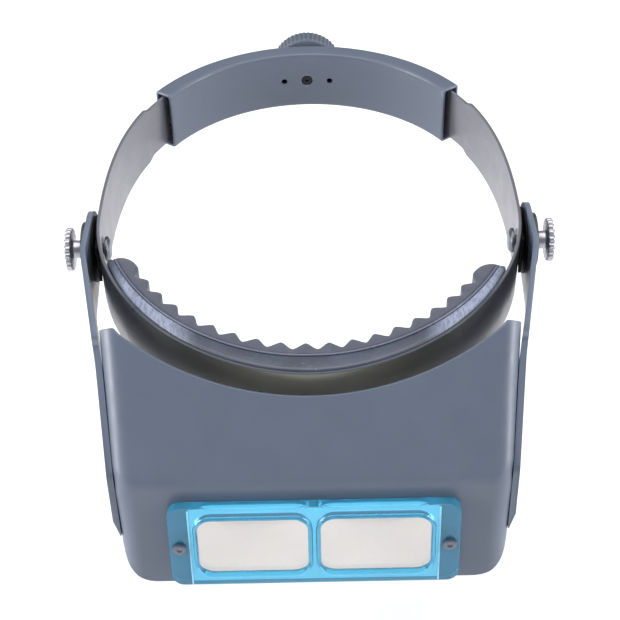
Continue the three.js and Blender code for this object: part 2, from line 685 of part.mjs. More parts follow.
// A dished disc: its rim stands proud of its middle on the outside.
function pivotDisc() {
  const [from, to] = DISC;
  return closed(turned([[from, PIVOT_HOLE_R], [from + 1, PIVOT_HOLE_R], [from + 1, 7.2],
    [to, 8.6], [to, DISC_R - 0.7], [to - 0.7, DISC_R], [from, DISC_R], [from, PIVOT_HOLE_R]], 28));
}

function thumbKnob() {
  const outline = new THREE.Shape();
  const step = 2 * Math.PI / WHEEL_LOBES;
  const lobeR = WHEEL_R * Math.sin(step / 2) * LOBE_FILL;
  for (let k = 0; k < WHEEL_LOBES; k += 1) {
    const a = k * step;
    const centre = [(WHEEL_R - lobeR) * Math.cos(a), (WHEEL_R - lobeR) * Math.sin(a)];
    outline.absarc(centre[0], centre[1], lobeR, a - rad(LOBE_REACH), a + rad(LOBE_REACH));
  }
  const wheel = solid(prism(outline, 'x', WHEEL[0], WHEEL[1] - WHEEL[0], 3));
  const hub = solid(cylinder('x', HUB_R, HUB[0], HUB[1] + 0.5, 14));
  const bore = solid(cylinder('x', PIVOT_HOLE_R, HUB[0] - 1, WHEEL[1] - 1.2, 10));
  return closed(geometryOf(wheel.add(hub).subtract(bore)));
}

const PIVOT_PIECES = {
  pivot_screw: [pivotScrew(), satinSteel],
  pivot_spacer: [pivotSpacer(), blackPlastic],
  friction_washer: [washer(FRICTION_WASHER, PIVOT_HOLE_R, FRICTION_WASHER_R), blackPlastic],
  pivot_disc: [pivotDisc(), () => finish(0x343a42, 0.5)],
  thumb_knob: [thumbKnob(), chrome],
};
for (const [name, [geometry, material]] of Object.entries(PIVOT_PIECES)) {
  add(`left_${name}`, mirrored(geometry), material());
  add(`right_${name}`, geometry, material());
}

// ------------------------------------------------------------- lens plate and lenses

const plateGroup = new THREE.Group();
plateGroup.position.set(...PLATE_CENTRE);
plateGroup.rotation.x = -LOWER_TILT;
group.add(plateGroup);

function lensFrame() {
  let frame = solid(prism(roundedRect(PLATE_WIDTH, PLATE_HEIGHT, PLATE_CORNER_R), 'y', 0, PLATE_THICK, 4));
  for (const side of [-1, 1]) {
    const x = side * LENS_SPACING / 2;
    const sight = prism(roundedRect(LENS_WIDTH, LENS_HEIGHT, LENS_CORNER_R), 'y', -1, PLATE_THICK + 2, 4);
    const seat = prism(roundedRect(LENS_WIDTH + 2 * LENS_SEAT, LENS_HEIGHT + 2 * LENS_SEAT,
      LENS_CORNER_R + LENS_SEAT), 'y', LENS_LIP, PLATE_THICK, 4);
    const hole = cylinder('y', PLATE_SCREW_HOLE_R, -1, PLATE_THICK + 1, 8);
    frame = frame.subtract(solid(sight.translate(x, 0, 0)))
      .subtract(solid(seat.translate(x, 0, 0)))
      .subtract(solid(hole.translate(side * PLATE_SCREW_X, 0, 0)));
  }
  return geometryOf(frame);
}

function lens(side) {
  const trim = LENS_SEAT - GAP;
  const glass = prism(roundedRect(LENS_WIDTH + 2 * trim, LENS_HEIGHT + 2 * trim,
    LENS_CORNER_R + trim), 'y', LENS_LIP + GAP, PLATE_THICK - LENS_LIP - GAP, 4);
  return closed(glass.translate(side * LENS_SPACING / 2, 0, 0));
}

// The screw's nut bears on the inside of the shell.
const shellFront = PLATE_THICK + GAP;
const nutFrom = shellFront + VISOR_WALL + GAP + 0.1;

function plateScrew(side) {
  const head = solid(cylinder('y', PLATE_SCREW_HEAD_R, -1.3, -GAP));
  const shank = solid(cylinder('y', PLATE_SCREW_R, -0.8, nutFrom + 2.6, 8));
  const socket = solid(cylinder('y', 0.8, -2, -0.7, 3));
  return geometryOf(head.add(shank).subtract(socket).translate([side * PLATE_SCREW_X, 0, 0]));
}

function plateNut(side) {
  const shape = new THREE.Shape();
  for (let k = 0; k < 6; k += 1) {
    const a = k * Math.PI / 3;
    const point = [3.1 * Math.cos(a), 3.1 * Math.sin(a)];
    if (k === 0) shape.moveTo(...point);
    else shape.lineTo(...point);
  }
  shape.closePath();
  shape.holes.push(new THREE.Path().absarc(0, 0, PLATE_SCREW_HOLE_R, 0, 2 * Math.PI, true));
  return closed(prism(shape, 'y', nutFrom, 2, 8).translate(side * PLATE_SCREW_X, 0, 0));
}

const acrylic = () => finish(0x4fb8e0, 0.15, 0, 0.7);
const glass = () => finish(0xd6dadb, 0.05, 0, 0.4);
add('lens_frame', lensFrame(), acrylic(), plateGroup);
for (const [name, side] of [['left', -1], ['right', 1]]) {
  add(`${name}_lens`, lens(side), glass(), plateGroup);
  add(`${name}_plate_screw`, plateScrew(side), finish(0x7a808c, 0.4, 0.6), plateGroup);
  add(`${name}_plate_nut`, plateNut(side), satinSteel(), plateGroup);
}

export default group;
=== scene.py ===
"""Looks of the head visor magnifier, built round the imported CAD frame.

The frame is the CAD part's: +Z up, -Y to the front, origin midway between the visor
pivots. Shapes are drawn in millimetres and written to the meshes in metres.
"""

import math

import bmesh
import bpy
import numpy as np
from mathutils import Matrix, Vector


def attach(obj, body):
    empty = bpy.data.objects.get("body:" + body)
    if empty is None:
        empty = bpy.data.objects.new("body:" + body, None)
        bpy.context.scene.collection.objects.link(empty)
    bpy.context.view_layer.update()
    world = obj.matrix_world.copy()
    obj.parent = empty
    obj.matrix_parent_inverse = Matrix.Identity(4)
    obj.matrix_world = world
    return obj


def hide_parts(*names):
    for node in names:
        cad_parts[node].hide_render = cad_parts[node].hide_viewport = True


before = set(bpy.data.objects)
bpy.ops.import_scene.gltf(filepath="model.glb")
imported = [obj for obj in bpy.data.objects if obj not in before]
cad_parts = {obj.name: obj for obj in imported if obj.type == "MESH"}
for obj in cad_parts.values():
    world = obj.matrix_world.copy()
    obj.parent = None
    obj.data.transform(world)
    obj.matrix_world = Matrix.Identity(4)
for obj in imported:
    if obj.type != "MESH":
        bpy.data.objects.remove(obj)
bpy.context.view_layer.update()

MM = 0.001
GAP = 0.3
SHARP_ANGLE = math.radians(42)

# ------------------------------------------------------------------- CAD dimensions, mm

BAND_HALF_WIDTH = 82.8
BAND_FRONT_Y = -86.0
BAND_STRAIGHT_Y = 5.0
SIDE_START_Y = 8.0
BAND_THICK = 1.3
BAND_HALF_HEIGHT = 13.7
BAND_END_HALF_HEIGHT = 12.0
BAND_END_LENGTH = 13.0
BAND_END_INSIDE = 5.0
FRONT_HANDLES = (51.0, 39.5)
SIDE_HANDLES = (35.0, 25.0)
BAND_MOUTH_SHIFT = 0.25
LINER_THICK = 8.0
LINER_END_THICK = 3.2
PAD_START = (0.19, 0.255)
PAD_HALF_HEIGHT = 13.6

HOUSING_CENTRE_Y = 46.5
HOUSING_INNER_R = 72.1
HOUSING_OUTER_R = 80.3
HOUSING_HALF_ANGLE = math.radians(56)
HOUSING_HALF_HEIGHT = 13.7
HOUSING_WALL = 1.2
HOUSING_SCREW_HOLE_R = 2.6
HOUSING_SIDE_HOLE_R = 1.4
HOUSING_SIDE_HOLE_X = 10.4
HOUSING_SHAFT_HOLE_R = 5.2

PIVOT_HOLE_R = 2.35
PIVOT_HEAD = (78.6, 80.6)
PIVOT_HEAD_R = 4.9
SPACER = (83.1, 83.6)
SPACER_BACK_Y = 7.0
SPACER_HALF_HEIGHT = 8.5
TONGUE_X = 83.1
TONGUE_CURVE = (0.055, 0.1)
FRICTION_WASHER = (83.9, 84.3)
FRICTION_WASHER_R = 13.2
ARM_OUTER_X = 86.6
ARM_THICK = 2.0
DISC = (86.9, 89.1)
DISC_R = 10.8
HUB = (89.4, 93.3)
HUB_R = 3.6
WHEEL = (93.3, 96.0)
WHEEL_R = 8.6
WHEEL_LOBES = 18
LOBE_FILL = 0.92                    # lobe radius, as a share of the room between lobes
LOBE_REACH = 68                     # degrees of arc to each side, short of the next lobe

CREASE = Vector((-110.0, -15.2))
UPPER_SLOPE = math.radians(52)
LOWER_TILT = math.radians(9.6)
UPPER_LENGTH = 54.7
UPPER_AT_CENTRE = 30.1
BROW_R = 106.6
LOWER_Z = -59.3
VISOR_WALL = 2.2
VISOR_CORNER_R = 7.0
VISOR_BOTTOM_R = 12.0
CREASE_R = 12.0
VISOR_HALF_WIDTH = 68.6
VISOR_FLARE = 0.107
VISOR_FLARE_Y = -112.0
SIDE_BACK_TOP = Vector((-59.0, 8.0))
SIDE_BACK_BOTTOM = Vector((-97.0, -50.0))
WINDOW_HALF_WIDTH = 43.8
WINDOW_TOP = 15.2

PLATE_CENTRE = (0.0, -118.6, -38.7)
PLATE_WIDTH = 102.0
PLATE_HEIGHT = 35.4
PLATE_THICK = 4.2
PLATE_CORNER_R = 4.5
TAB_WIDTH = 7.4
LENS_WIDTH = 38.5
LENS_HEIGHT = 25.0
LENS_CORNER_R = 5.0
LENS_SPACING = 43.0
PLATE_SCREW_X = (PLATE_WIDTH - TAB_WIDTH) / 2


# ---------------------------------------------------------------------------- camera

def make_camera():
    """The photograph's view: where the camera stands, and its axes."""
    yaw, pitch, roll = -0.008, 0.739, -0.026
    forward = Vector((math.sin(yaw) * math.cos(pitch), math.cos(yaw) * math.cos(pitch),
                      -math.sin(pitch)))
    level = Vector((math.cos(yaw), -math.sin(yaw), 0))
    upright = level.cross(forward)
    right = math.cos(roll) * level + math.sin(roll) * upright
    up = -math.sin(roll) * level + math.cos(roll) * upright
    data = bpy.data.cameras.new("camera")
    data.sensor_width = 36
    data.lens = 78.03
    data.clip_start = 0.02
    camera = bpy.data.objects.new("camera", data)
    turn = Matrix((right, up, -forward)).transposed().to_4x4()
    camera.matrix_world = Matrix.Translation((0.002847, -0.41065, 0.339112)) @ turn
    bpy.context.scene.collection.objects.link(camera)
    bpy.context.scene.camera = camera


make_camera()


# ------------------------------------------------------------------------- materials

def srgb(r, g, b):
    """A linear colour from 0 to 255 sRGB values."""
    def one(v):
        v /= 255
        return v / 12.92 if v <= 0.04045 else ((v + 0.055) / 1.055) ** 2.4
    return (one(r), one(g), one(b), 1.0)


def scaled(color, k):
    return tuple(min(1.0, c * k) for c in color[:3]) + (1.0,)


class Nodes:
    """A material's node tree, with short calls for the nodes that are used here."""

    def __init__(self, name):
        self.material = bpy.data.materials.new(name)
        self.material.use_nodes = True
        self.tree = self.material.node_tree
        self.tree.nodes.clear()
        self.out = self.add("ShaderNodeOutputMaterial")
        self.shader = self.add("ShaderNodeBsdfPrincipled")
        self.link(self.shader.outputs[0], self.out.inputs["Surface"])
        self.coordinates = self.add("ShaderNodeTexCoord").outputs["Object"]

    def add(self, kind, **values):
        node = self.tree.nodes.new(kind)
        for key, value in values.items():
            if hasattr(node, key):
                setattr(node, key, value)
            else:
                node.inputs[key.replace("_", " ").title()].default_value = value
        return node

    def link(self, a, b):
        self.tree.links.new(a, b)

    def noise(self, scale, detail=3.0, roughness=0.55, stretch=(1, 1, 1)):
        mapping = self.add("ShaderNodeMapping")
        mapping.inputs["Scale"].default_value = stretch
        self.link(self.coordinates, mapping.inputs["Vector"])
        node = self.add("ShaderNodeTexNoise", scale=scale, detail=detail, roughness=roughness)
        self.link(mapping.outputs[0], node.inputs["Vector"])
        return node.outputs["Fac"]

    def spread(self, value, low, high, from_low=0.3, from_high=0.7):
        node = self.add("ShaderNodeMapRange")
        for key, number in (("From Min", from_low), ("From Max", from_high),
                            ("To Min", low), ("To Max", high)):
            node.inputs[key].default_value = number
        self.link(value, node.inputs["Value"])
        return node.outputs["Result"]

    def mix(self, factor, a, b):
        node = self.add("ShaderNodeMix", data_type="RGBA")
        for socket, value in ((node.inputs[0], factor), (node.inputs[6], a), (node.inputs[7], b)):
            if isinstance(value, bpy.types.NodeSocket):
                self.link(value, socket)
            else:
                socket.default_value = value
        return node.outputs[2]

    def split(self, vector):
        node = self.add("ShaderNodeSeparateXYZ")
        self.link(vector, node.inputs[0])
        return node.outputs

    def times(self, a, b):
        node = self.add("ShaderNodeMath", operation="MULTIPLY")
        self.link(a, node.inputs[0])
        self.link(b, node.inputs[1])
        return node.outputs[0]

    def distance_from_middle(self, value):
        node = self.add("ShaderNodeMath", operation="ABSOLUTE")
        self.link(value, node.inputs[0])
        return node.outputs[0]

    def bump(self, height, distance, strength=1.0, below=None):
        node = self.add("ShaderNodeBump")
        node.inputs["Distance"].default_value = distance
        node.inputs["Strength"].default_value = strength
        self.link(height, node.inputs["Height"])
        if below is not None:
            self.link(below, node.inputs["Normal"])
        return node.outputs["Normal"]

    def edges(self):
        """1 on worn convex edges, 0 on faces."""
        return self.spread(self.add("ShaderNodeNewGeometry").outputs["Pointiness"], 0, 1, 0.52, 0.62)

    def set(self, **values):
        names = {"color": "Base Color", "metal": "Metallic", "rough": "Roughness", "normal": "Normal",
                 "coat": "Coat Weight", "coat_rough": "Coat Roughness", "sheen": "Sheen Weight",
                 "sheen_rough": "Sheen Roughness", "transmission": "Transmission Weight", "ior": "IOR",
                 "specular": "Specular IOR Level"}
        for key, value in values.items():
            socket = self.shader.inputs[names[key]]
            if isinstance(value, bpy.types.NodeSocket):
                self.link(value, socket)
            else:
                socket.default_value = value


def moulded(name, color, rough, edge=1.5, specular=0.5):
    """Painted or moulded plastic: a fine eggshell grain, faint mottling, lighter worn edges."""
    n = Nodes(name)
    mottle = n.spread(n.noise(55, 4), 0, 1)
    base = n.mix(mottle, scaled(color, 0.93), scaled(color, 1.06))
    specks = n.spread(n.noise(2600, 2), 0, 1, 0.42, 0.6)
    base = n.mix(specks, scaled(color, 0.96), base)
    wear = n.mix(n.edges(), base, scaled(color, edge))
    grain_height = n.noise(1900, 3, 0.6)
    n.set(color=wear, specular=specular,
          rough=n.spread(n.noise(140, 5), rough - 0.07, rough + 0.08),
          normal=n.bump(grain_height, 0.048 * MM, 0.55))
    return n.material


def plated(name, color, rough):
    """Plated or polished metal with fine wear."""
    n = Nodes(name)
    dull = n.spread(n.noise(260, 5), 0, 1)
    n.set(color=n.mix(dull, color, scaled(color, 0.82)), metal=1.0,
          rough=n.spread(n.noise(420, 4), rough - 0.06, rough + 0.12),
          normal=n.bump(n.noise(900, 4), 0.04 * MM, 0.5))
    return n.material


def strap():
    """The glossy steel-grey strap, with fine draw lines along it; at the front its top edge carries
    painted shade and its face a painted dark reflection.
    """
    n = Nodes("strap_plastic_look")
    color = srgb(116, 116, 125)
    lines = n.noise(420, 4, 0.6, (0.08, 0.08, 5))
    base = n.mix(n.spread(lines, 0, 1), scaled(color, 0.88), scaled(color, 1.05))
    normal = n.split(n.add("ShaderNodeNewGeometry").outputs["Normal"])
    y = n.split(n.coordinates)[1]
    # painted shade: the upward-facing top edge at the front is coloured dark and less metallic, for the
    # shade between strip and liner
    edge = n.times(n.spread(normal[2], 0, 1, 0.25, 0.6), n.spread(y, 0, 1, -0.03, -0.05))
    # painted reflection: the face at the front is coloured darker olive, for the shaded inside of the
    # visor that it reflects
    front = n.spread(y, 0, 1, -0.04, -0.07)
    base = n.mix(front, base, srgb(108, 107, 100))
    base = n.mix(edge, base, srgb(58, 64, 76))
    n.set(color=base, metal=n.spread(edge, 0.5, 0.1, 0, 1), rough=n.spread(n.noise(90, 4), 0.27, 0.36),
          normal=n.bump(lines, 0.02 * MM, 0.4))
    return n.material


def vinyl():
    """The liner's dark vinyl: fine creases across it, small specks, a soft shine, and a painted sheen
    with hatch lines towards each side.
    """
    n = Nodes("liner_vinyl_look")
    color = srgb(56, 63, 78)
    creases = n.noise(330, 6, 0.7)
    base = n.mix(n.spread(n.noise(70, 4), 0, 1), scaled(color, 0.8), scaled(color, 1.25))
    specks = n.spread(n.noise(700, 4, 0.7), 0, 1, 0.63, 0.7)
    base = n.mix(specks, base, scaled(color, 2.6))
    across = n.distance_from_middle(n.split(n.coordinates)[0])
    # painted sheen: the vinyl 40 to 74 mm from the middle is coloured lighter, in hatch lines, for the
    # shine of the light there
    painted_sheen_mask = n.times(n.spread(across, 0, 1, 0.040, 0.050), n.spread(across, 1, 0, 0.068, 0.074))
    hatch = n.spread(n.noise(1600, 3, 0.6, (1, 0.25, 0.25)), 0.55, 1, 0.4, 0.55)
    base = n.mix(n.times(painted_sheen_mask, hatch), base, srgb(138, 147, 170))
    fine = n.bump(n.noise(1100, 3, 0.6, (1, 0.15, 0.15)), 0.1 * MM, 0.6)
    n.set(color=base, rough=n.spread(n.noise(200, 5), 0.24, 0.42), coat=0.3, coat_rough=0.25,
          normal=n.bump(creases, 0.5 * MM, 0.35, fine))
    return n.material


def foam():
    """The pad's closed-cell foam with a matt skin."""
    n = Nodes("pad_foam_look")
    color = srgb(68, 72, 88)
    cells = n.add("ShaderNodeTexVoronoi", scale=1500.0)
    n.link(n.coordinates, cells.inputs["Vector"])
    base = n.mix(n.spread(n.noise(60, 5), 0, 1), scaled(color, 0.82), scaled(color, 1.16))
    base = n.mix(n.spread(cells.outputs["Distance"], 0, 1, 0.1, 0.7), scaled(color, 0.8), base)
    n.set(color=base, rough=n.spread(n.noise(300, 3), 0.62, 0.85), sheen=0.25, sheen_rough=0.5,
          normal=n.bump(cells.outputs["Distance"], 0.12 * MM, 0.5))
    return n.material


def acrylic():
    """Clear blue acrylic with faint flow lines and handling marks."""
    n = Nodes("blue_acrylic_look")
    color = srgb(98, 200, 238)
    flow = n.noise(60, 3, 0.5, (1, 1, 4))
    n.set(color=n.mix(n.spread(flow, 0, 1), scaled(color, 0.92), color), transmission=0.82, ior=1.49,
          rough=n.spread(n.noise(180, 5), 0.04, 0.14), normal=n.bump(flow, 0.05 * MM, 0.3))
    return n.material


def lens_glass():
    """Clear glass with the faintest grey and dust."""
    n = Nodes("lens_glass_look")
    color = srgb(206, 203, 200)
    n.set(color=n.mix(n.spread(n.noise(500, 6), 0, 1, 0.5, 0.8), color, scaled(color, 0.94)),
          transmission=1.0, ior=1.5, rough=n.spread(n.noise(220, 5), 0.0, 0.05))
    return n.material


GREY = moulded("grey_moulding_look", srgb(84, 93, 109), rough=0.36, edge=1.4)
KNOB = moulded("knob_plastic_look", srgb(78, 86, 100), rough=0.45)
BLACK = moulded("black_plastic_look", srgb(13, 14, 16), rough=0.55, edge=2.0, specular=0.25)
DISC_PLASTIC = moulded("disc_plastic_look", srgb(42, 46, 51), rough=0.42, edge=2.2)
STRAP = strap()
VINYL = vinyl()
PIPING = moulded("seam_piping_look", srgb(90, 95, 111), rough=0.3)
FOAM = foam()
ACRYLIC = acrylic()
ACRYLIC_EDGE = moulded("acrylic_edge_look", srgb(128, 192, 220), rough=0.25, edge=1.1)
GLASS = lens_glass()
CHROME = plated("chrome_parts_look", srgb(190, 189, 198), rough=0.36)
STEEL = plated("steel_look", srgb(122, 124, 132), rough=0.34)
SCREW = plated("plate_screw_metal_look", srgb(112, 118, 130), rough=0.36)
DARK_SCREW = plated("dark_screw_look", srgb(46, 48, 54), rough=0.3)


# ---------------------------------------------------------------------- mesh helpers

def make(name, verts, faces, material):
    """A mesh object from millimetre points, its faces turned outward."""
    mesh = bpy.data.meshes.new(name)
    mesh.from_pydata([tuple(MM * c for c in v) for v in verts], [], faces)
    return wrap(name, mesh, material)


def wrap(name, mesh, material):
    """A smoothly shaded object from a mesh in metres."""
    bm = bmesh.new()
    bm.from_mesh(mesh)
    bmesh.ops.remove_doubles(bm, verts=bm.verts, dist=1e-7)
    bmesh.ops.recalc_face_normals(bm, faces=bm.faces)
    bm.to_mesh(mesh)
    bm.free()
    mesh.materials.append(material)
    mesh.shade_smooth()
    mesh.set_sharp_from_angle(angle=SHARP_ANGLE)
    obj = bpy.data.objects.new(name, mesh)
    bpy.context.scene.collection.objects.link(obj)
    return obj


def modify(obj, kind, **settings):
    modifier = obj.modifiers.new(kind.lower(), kind)
    for key, value in settings.items():
        setattr(modifier, key, value)
    return obj


def bevelled(obj, width, segments, angle):
    return modify(obj, "BEVEL", width=width * MM, segments=segments, limit_method="ANGLE",
                  angle_limit=math.radians(angle), harden_normals=True, miter_outer="MITER_ARC")


def applied(obj):
    """Writes obj's modifiers into its mesh."""
    graph = bpy.context.evaluated_depsgraph_get()
    mesh = bpy.data.meshes.new_from_object(obj.evaluated_get(graph))
    obj.modifiers.clear()
    obj.data = mesh
    return obj


def mirrored(obj, name):
    """A copy on the other side of the YZ plane."""
    mesh = obj.data.copy()
    mesh.transform(Matrix.Scale(-1, 4, (1, 0, 0)))
    mesh.flip_normals()
    other = bpy.data.objects.new(name, mesh)
    bpy.context.scene.collection.objects.link(other)
    return other


def place(obj, body, slot, *nodes):
    """Puts obj on a body in place of the CAD nodes named, which are hidden; slot is not used."""
    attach(obj, body)
    if nodes:
        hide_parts(*nodes)
    return obj


def tube(sections, ring=False):
    """Faces between closed loops of the same number of points. A ring joins last to first."""
    n = len(sections[0])
    verts = [p for s in sections for p in s]
    faces = []
    for j in range(len(sections) - (0 if ring else 1)):
        k = (j + 1) % len(sections)
        for i in range(n):
            h = (i + 1) % n
            faces.append((j * n + i, j * n + h, k * n + h, k * n + i))
    if not ring:
        faces.append(tuple(range(n)))
        faces.append(tuple((len(sections) - 1) * n + i for i in range(n)))
    return verts, faces


def round_box(a0, a1, b0, b1, r, steps=4):
    """A rounded rectangle as (a, b) points, anticlockwise."""
    out = []
    for ca, cb, start in ((a1 - r, b1 - r, 0), (a0 + r, b1 - r, 90),
                          (a0 + r, b0 + r, 180), (a1 - r, b0 + r, 270)):
        for i in range(steps + 1):
            t = math.radians(start + 90 * i / steps)
            out.append((ca + r * math.cos(t), cb + r * math.sin(t)))
    return out


def circle(radius, count=32):
    return [(radius * math.cos(2 * math.pi * i / count), radius * math.sin(2 * math.pi * i / count))
            for i in range(count)]


def turned(profile, segments=64):
    """A solid of revolution about X from (x, radius) points that form a closed loop."""
    sections = []
    for k in range(segments):
        t = 2 * math.pi * k / segments
        sections.append([(x, r * math.cos(t), r * math.sin(t)) for x, r in profile])
    return tube(sections, ring=True)


# ----------------------------------------------------------------- headband and pads

def bezier(p, t):
    a = [(1 - t) ** 3, 3 * t * (1 - t) ** 2, 3 * t * t * (1 - t), t ** 3]
    return sum((Vector(q) * w for q, w in zip(p, a)), Vector((0, 0)))


def bezier_turn(p, t):
    a = [3 * (1 - t) ** 2, 6 * t * (1 - t), 3 * t * t]
    d = sum(((Vector(p[i + 1]) - Vector(p[i])) * w for i, w in enumerate(a)), Vector((0, 0)))
    return d.normalized()


FRONT_CURVE = [(BAND_HALF_WIDTH, BAND_STRAIGHT_Y),
               (BAND_HALF_WIDTH, BAND_STRAIGHT_Y - FRONT_HANDLES[0]),
               (FRONT_HANDLES[1], BAND_FRONT_Y), (0, BAND_FRONT_Y)]
MOUTH_R = (HOUSING_INNER_R + HOUSING_OUTER_R + BAND_THICK) / 2 + BAND_MOUTH_SHIFT
MOUTH = Vector((MOUTH_R * math.sin(HOUSING_HALF_ANGLE),
                HOUSING_CENTRE_Y + MOUTH_R * math.cos(HOUSING_HALF_ANGLE)))
MOUTH_TURN = Vector((math.cos(HOUSING_HALF_ANGLE), -math.sin(HOUSING_HALF_ANGLE)))
SIDE_CURVE = [MOUTH, MOUTH + SIDE_HANDLES[1] * MOUTH_TURN,
              (BAND_HALF_WIDTH, SIDE_START_Y + SIDE_HANDLES[0]), (BAND_HALF_WIDTH, SIDE_START_Y)]


def band_stations():
    """The strip's outer line from the left end round the front to the right end, as (point, inward)."""
    half = []
    for i in range(4):
        a = HOUSING_HALF_ANGLE - BAND_END_INSIDE / MOUTH_R * (1 - i / 4)
        half.append((Vector((MOUTH_R * math.sin(a), HOUSING_CENTRE_Y + MOUTH_R * math.cos(a))),
                     Vector((math.cos(a), -math.sin(a)))))
    half += [(bezier(SIDE_CURVE, i / 60), bezier_turn(SIDE_CURVE, i / 60)) for i in range(61)]
    half += [(bezier(FRONT_CURVE, i / 90), bezier_turn(FRONT_CURVE, i / 90)) for i in range(91)]
    right = [(p, Vector((d.y, -d.x))) for p, d in half]
    left = [(Vector((-p.x, p.y)), Vector((-n.x, n.y))) for p, n in right[:-1]]
    return left + right[::-1]


def headband():
    sections = []
    slope_from = MOUTH.y - BAND_END_LENGTH
    for p, n in band_stations():
        share = min(1, max(0, (p.y - slope_from) / 3))
        half = BAND_HALF_HEIGHT + (BAND_END_HALF_HEIGHT - BAND_HALF_HEIGHT) * share
        loop = round_box(0, BAND_THICK, -half, half, 0.5, 3)
        sections.append([(p.x + n.x * a, p.y + n.y * a, z) for a, z in loop])
    return make("strip_look", *tube(sections), STRAP)


place(headband(), "headband", "strap_plastic", "headband_strip")


def half_stations(step, depth, start):
    """Stations from a pad's end, at share `start` of the front curve, to the middle of the forehead."""
    ts = [start + (1 - start) * i / 600 for i in range(601)]
    fine = []
    for t in ts:
        p, d = bezier(FRONT_CURVE, t), bezier_turn(FRONT_CURVE, t)
        fine.append(p + Vector((d.y, -d.x)) * depth)
    length = [0]
    for a, b in zip(fine, fine[1:]):
        length.append(length[-1] + (b - a).length)
    count = round(length[-1] / step)
    half = []
    for k in range(count + 1):
        gone = length[-1] * k / count
        t = float(np.interp(gone, length, ts))
        d = bezier_turn(FRONT_CURVE, t)
        half.append((bezier(FRONT_CURVE, t), Vector((d.y, -d.x)), length[-1] - gone, gone,
                     (1 - t) / (1 - start)))
    return half


def front_stations(step, depth):
    """Stations at equal steps along the front curve, from the left end of the pad to the right.

    Steps are measured `depth` inside the strip's outer face. Each is (point on the outer
    face, inward direction, distance from the middle, distance from the nearer end, share
    of the curve between the middle and that end).
    """
    left, right = (half_stations(step, depth, start) for start in PAD_START)
    turned_over = [(Vector((-p.x, p.y)), Vector((-n.x, n.y)), -s, gone, share)
                   for p, n, s, gone, share in left[:-1]]
    return turned_over + right[::-1]


LINER_INSET = BAND_THICK + GAP
CREST_INSET = 15.0                  # where the pad's length is measured
CREST_RISE = 6.3                    # from the pad's back to the crests
CREST_DEPTH = 2.9
CRESTS_EACH_SIDE = 9                # beside the middle one; the last is the end lobe
MIDDLE_CREST = -1.7                 # where the middle crest is, from the forehead's middle
END_LOBE = 8.0
LONG_SIDE = 27                      # length of a pad's or sleeve's upright side


def liner_inner(share):
    """How far the liner's inner face is from the strip's outer one."""
    return LINER_INSET + LINER_THICK - (LINER_THICK - LINER_END_THICK) * share ** 1.2


def crest_wave(s, to_end):
    """1 on the pad's crests, 0 in the valleys between them."""
    from_middle = abs(s - MIDDLE_CREST)
    last = from_middle + to_end - END_LOBE
    if from_middle >= last:
        return 1.0
    turn = from_middle / last * CRESTS_EACH_SIDE
    straight = abs(2 * (turn % 1) - 1)
    return 0.45 * straight + 0.55 * (0.5 + 0.5 * math.cos(2 * math.pi * turn))


def comfort_pad():
    """Ribbed foam: rounded crests towards the head and a long round lobe at each end."""
    sections = []
    for p, n, s, to_end, share in front_stations(0.42, CREST_INSET):
        near_end = max(0, 1 - to_end / END_LOBE)
        round_off = math.sqrt(max(0, 1 - near_end ** 2.4))
        wave = crest_wave(s, to_end)
        back = liner_inner(share) + GAP
        inner = back + 0.5 + (CREST_RISE - CREST_DEPTH * (1 - wave) - 0.5) * round_off
        half = PAD_HALF_HEIGHT - 1.2 * (1 - round_off) - 0.2 * (1 - wave)
        r = min(1.3, (inner - back) * 0.45)
        loop = fill_sides(round_box(back, inner, -half, half, r, 5), 1.4)
        sections.append([(p.x + n.x * a, p.y + n.y * a, z) for a, z in loop])
    return make("comfort_pad_look", *tube(sections), FOAM)


def fill_sides(loop, step):
    """Adds points on the two long sides of a rounded rectangle, about step apart."""
    quarter = len(loop) // 4
    out = []
    count = round(LONG_SIDE / step)
    for k in range(4):
        part = loop[k * quarter:(k + 1) * quarter]
        out += part
        if k in (1, 3):
            a, b = part[-1], loop[((k + 1) * quarter) % len(loop)]
            out += [(a[0] + (b[0] - a[0]) * i / count, a[1] + (b[1] - a[1]) * i / count)
                    for i in range(1, count)]
    return out


def pad_liner():
    """The backing of the pad, thickest at the forehead, with soft full edges."""
    sections = []
    for p, n, _, to_end, share in front_stations(0.6, LINER_INSET):
        near_end = max(0, 1 - to_end / 3)
        half_t = (liner_inner(share) - LINER_INSET) / 2 * (1 - 0.35 * near_end ** 2)
        middle = (liner_inner(share) + LINER_INSET) / 2
        half = PAD_HALF_HEIGHT - near_end ** 2
        r = min(1.5, half_t * 0.82)
        loop = fill_sides(round_box(middle - half_t, middle + half_t, -half, half, r, 8), 1.4)
        sections.append([(p.x + n.x * a, p.y + n.y * a, z) for a, z in loop])
    return make("pad_liner_look", *tube(sections), VINYL)


def seam_piping():
    """A thin welt along the seam between liner and pad, above, below and round the ends."""
    path = []
    for p, n, _, to_end, share in front_stations(1.0, CREST_INSET):
        near_end = max(0, 1 - to_end / 3)
        seam = p + n * (liner_inner(share) + GAP / 2 - 0.1 * near_end)
        path.append((seam, 13.25 - 1.1 * near_end ** 2))
    upper = [Vector((q.x, q.y, z)) for q, z in path]
    line = upper + [Vector((q.x, q.y, -q.z)) for q in upper[::-1]]
    sections = []
    for i, q in enumerate(line):
        along = (line[(i + 1) % len(line)] - line[i - 1]).normalized()
        across = Vector((along.y, -along.x, 0))
        across = across.normalized() if across.length > 0.2 else Vector((0, 1, 0))
        lift = along.cross(across).normalized()
        sections.append([tuple(q + across * a + lift * b) for a, b in circle(0.42, 10)])
    return make("pad_seam_look", *tube(sections, ring=True), PIPING)


place(comfort_pad(), "headband", "pad_foam", "comfort_pad")
place(pad_liner(), "headband", "liner_vinyl", "pad_liner")
place(seam_piping(), "headband", "liner_vinyl")


# --------------------------------------------------------------------- rear housing

def arc_section(loop, angle):
    return [(r * math.sin(angle), HOUSING_CENTRE_Y + r * math.cos(angle), z) for r, z in loop]


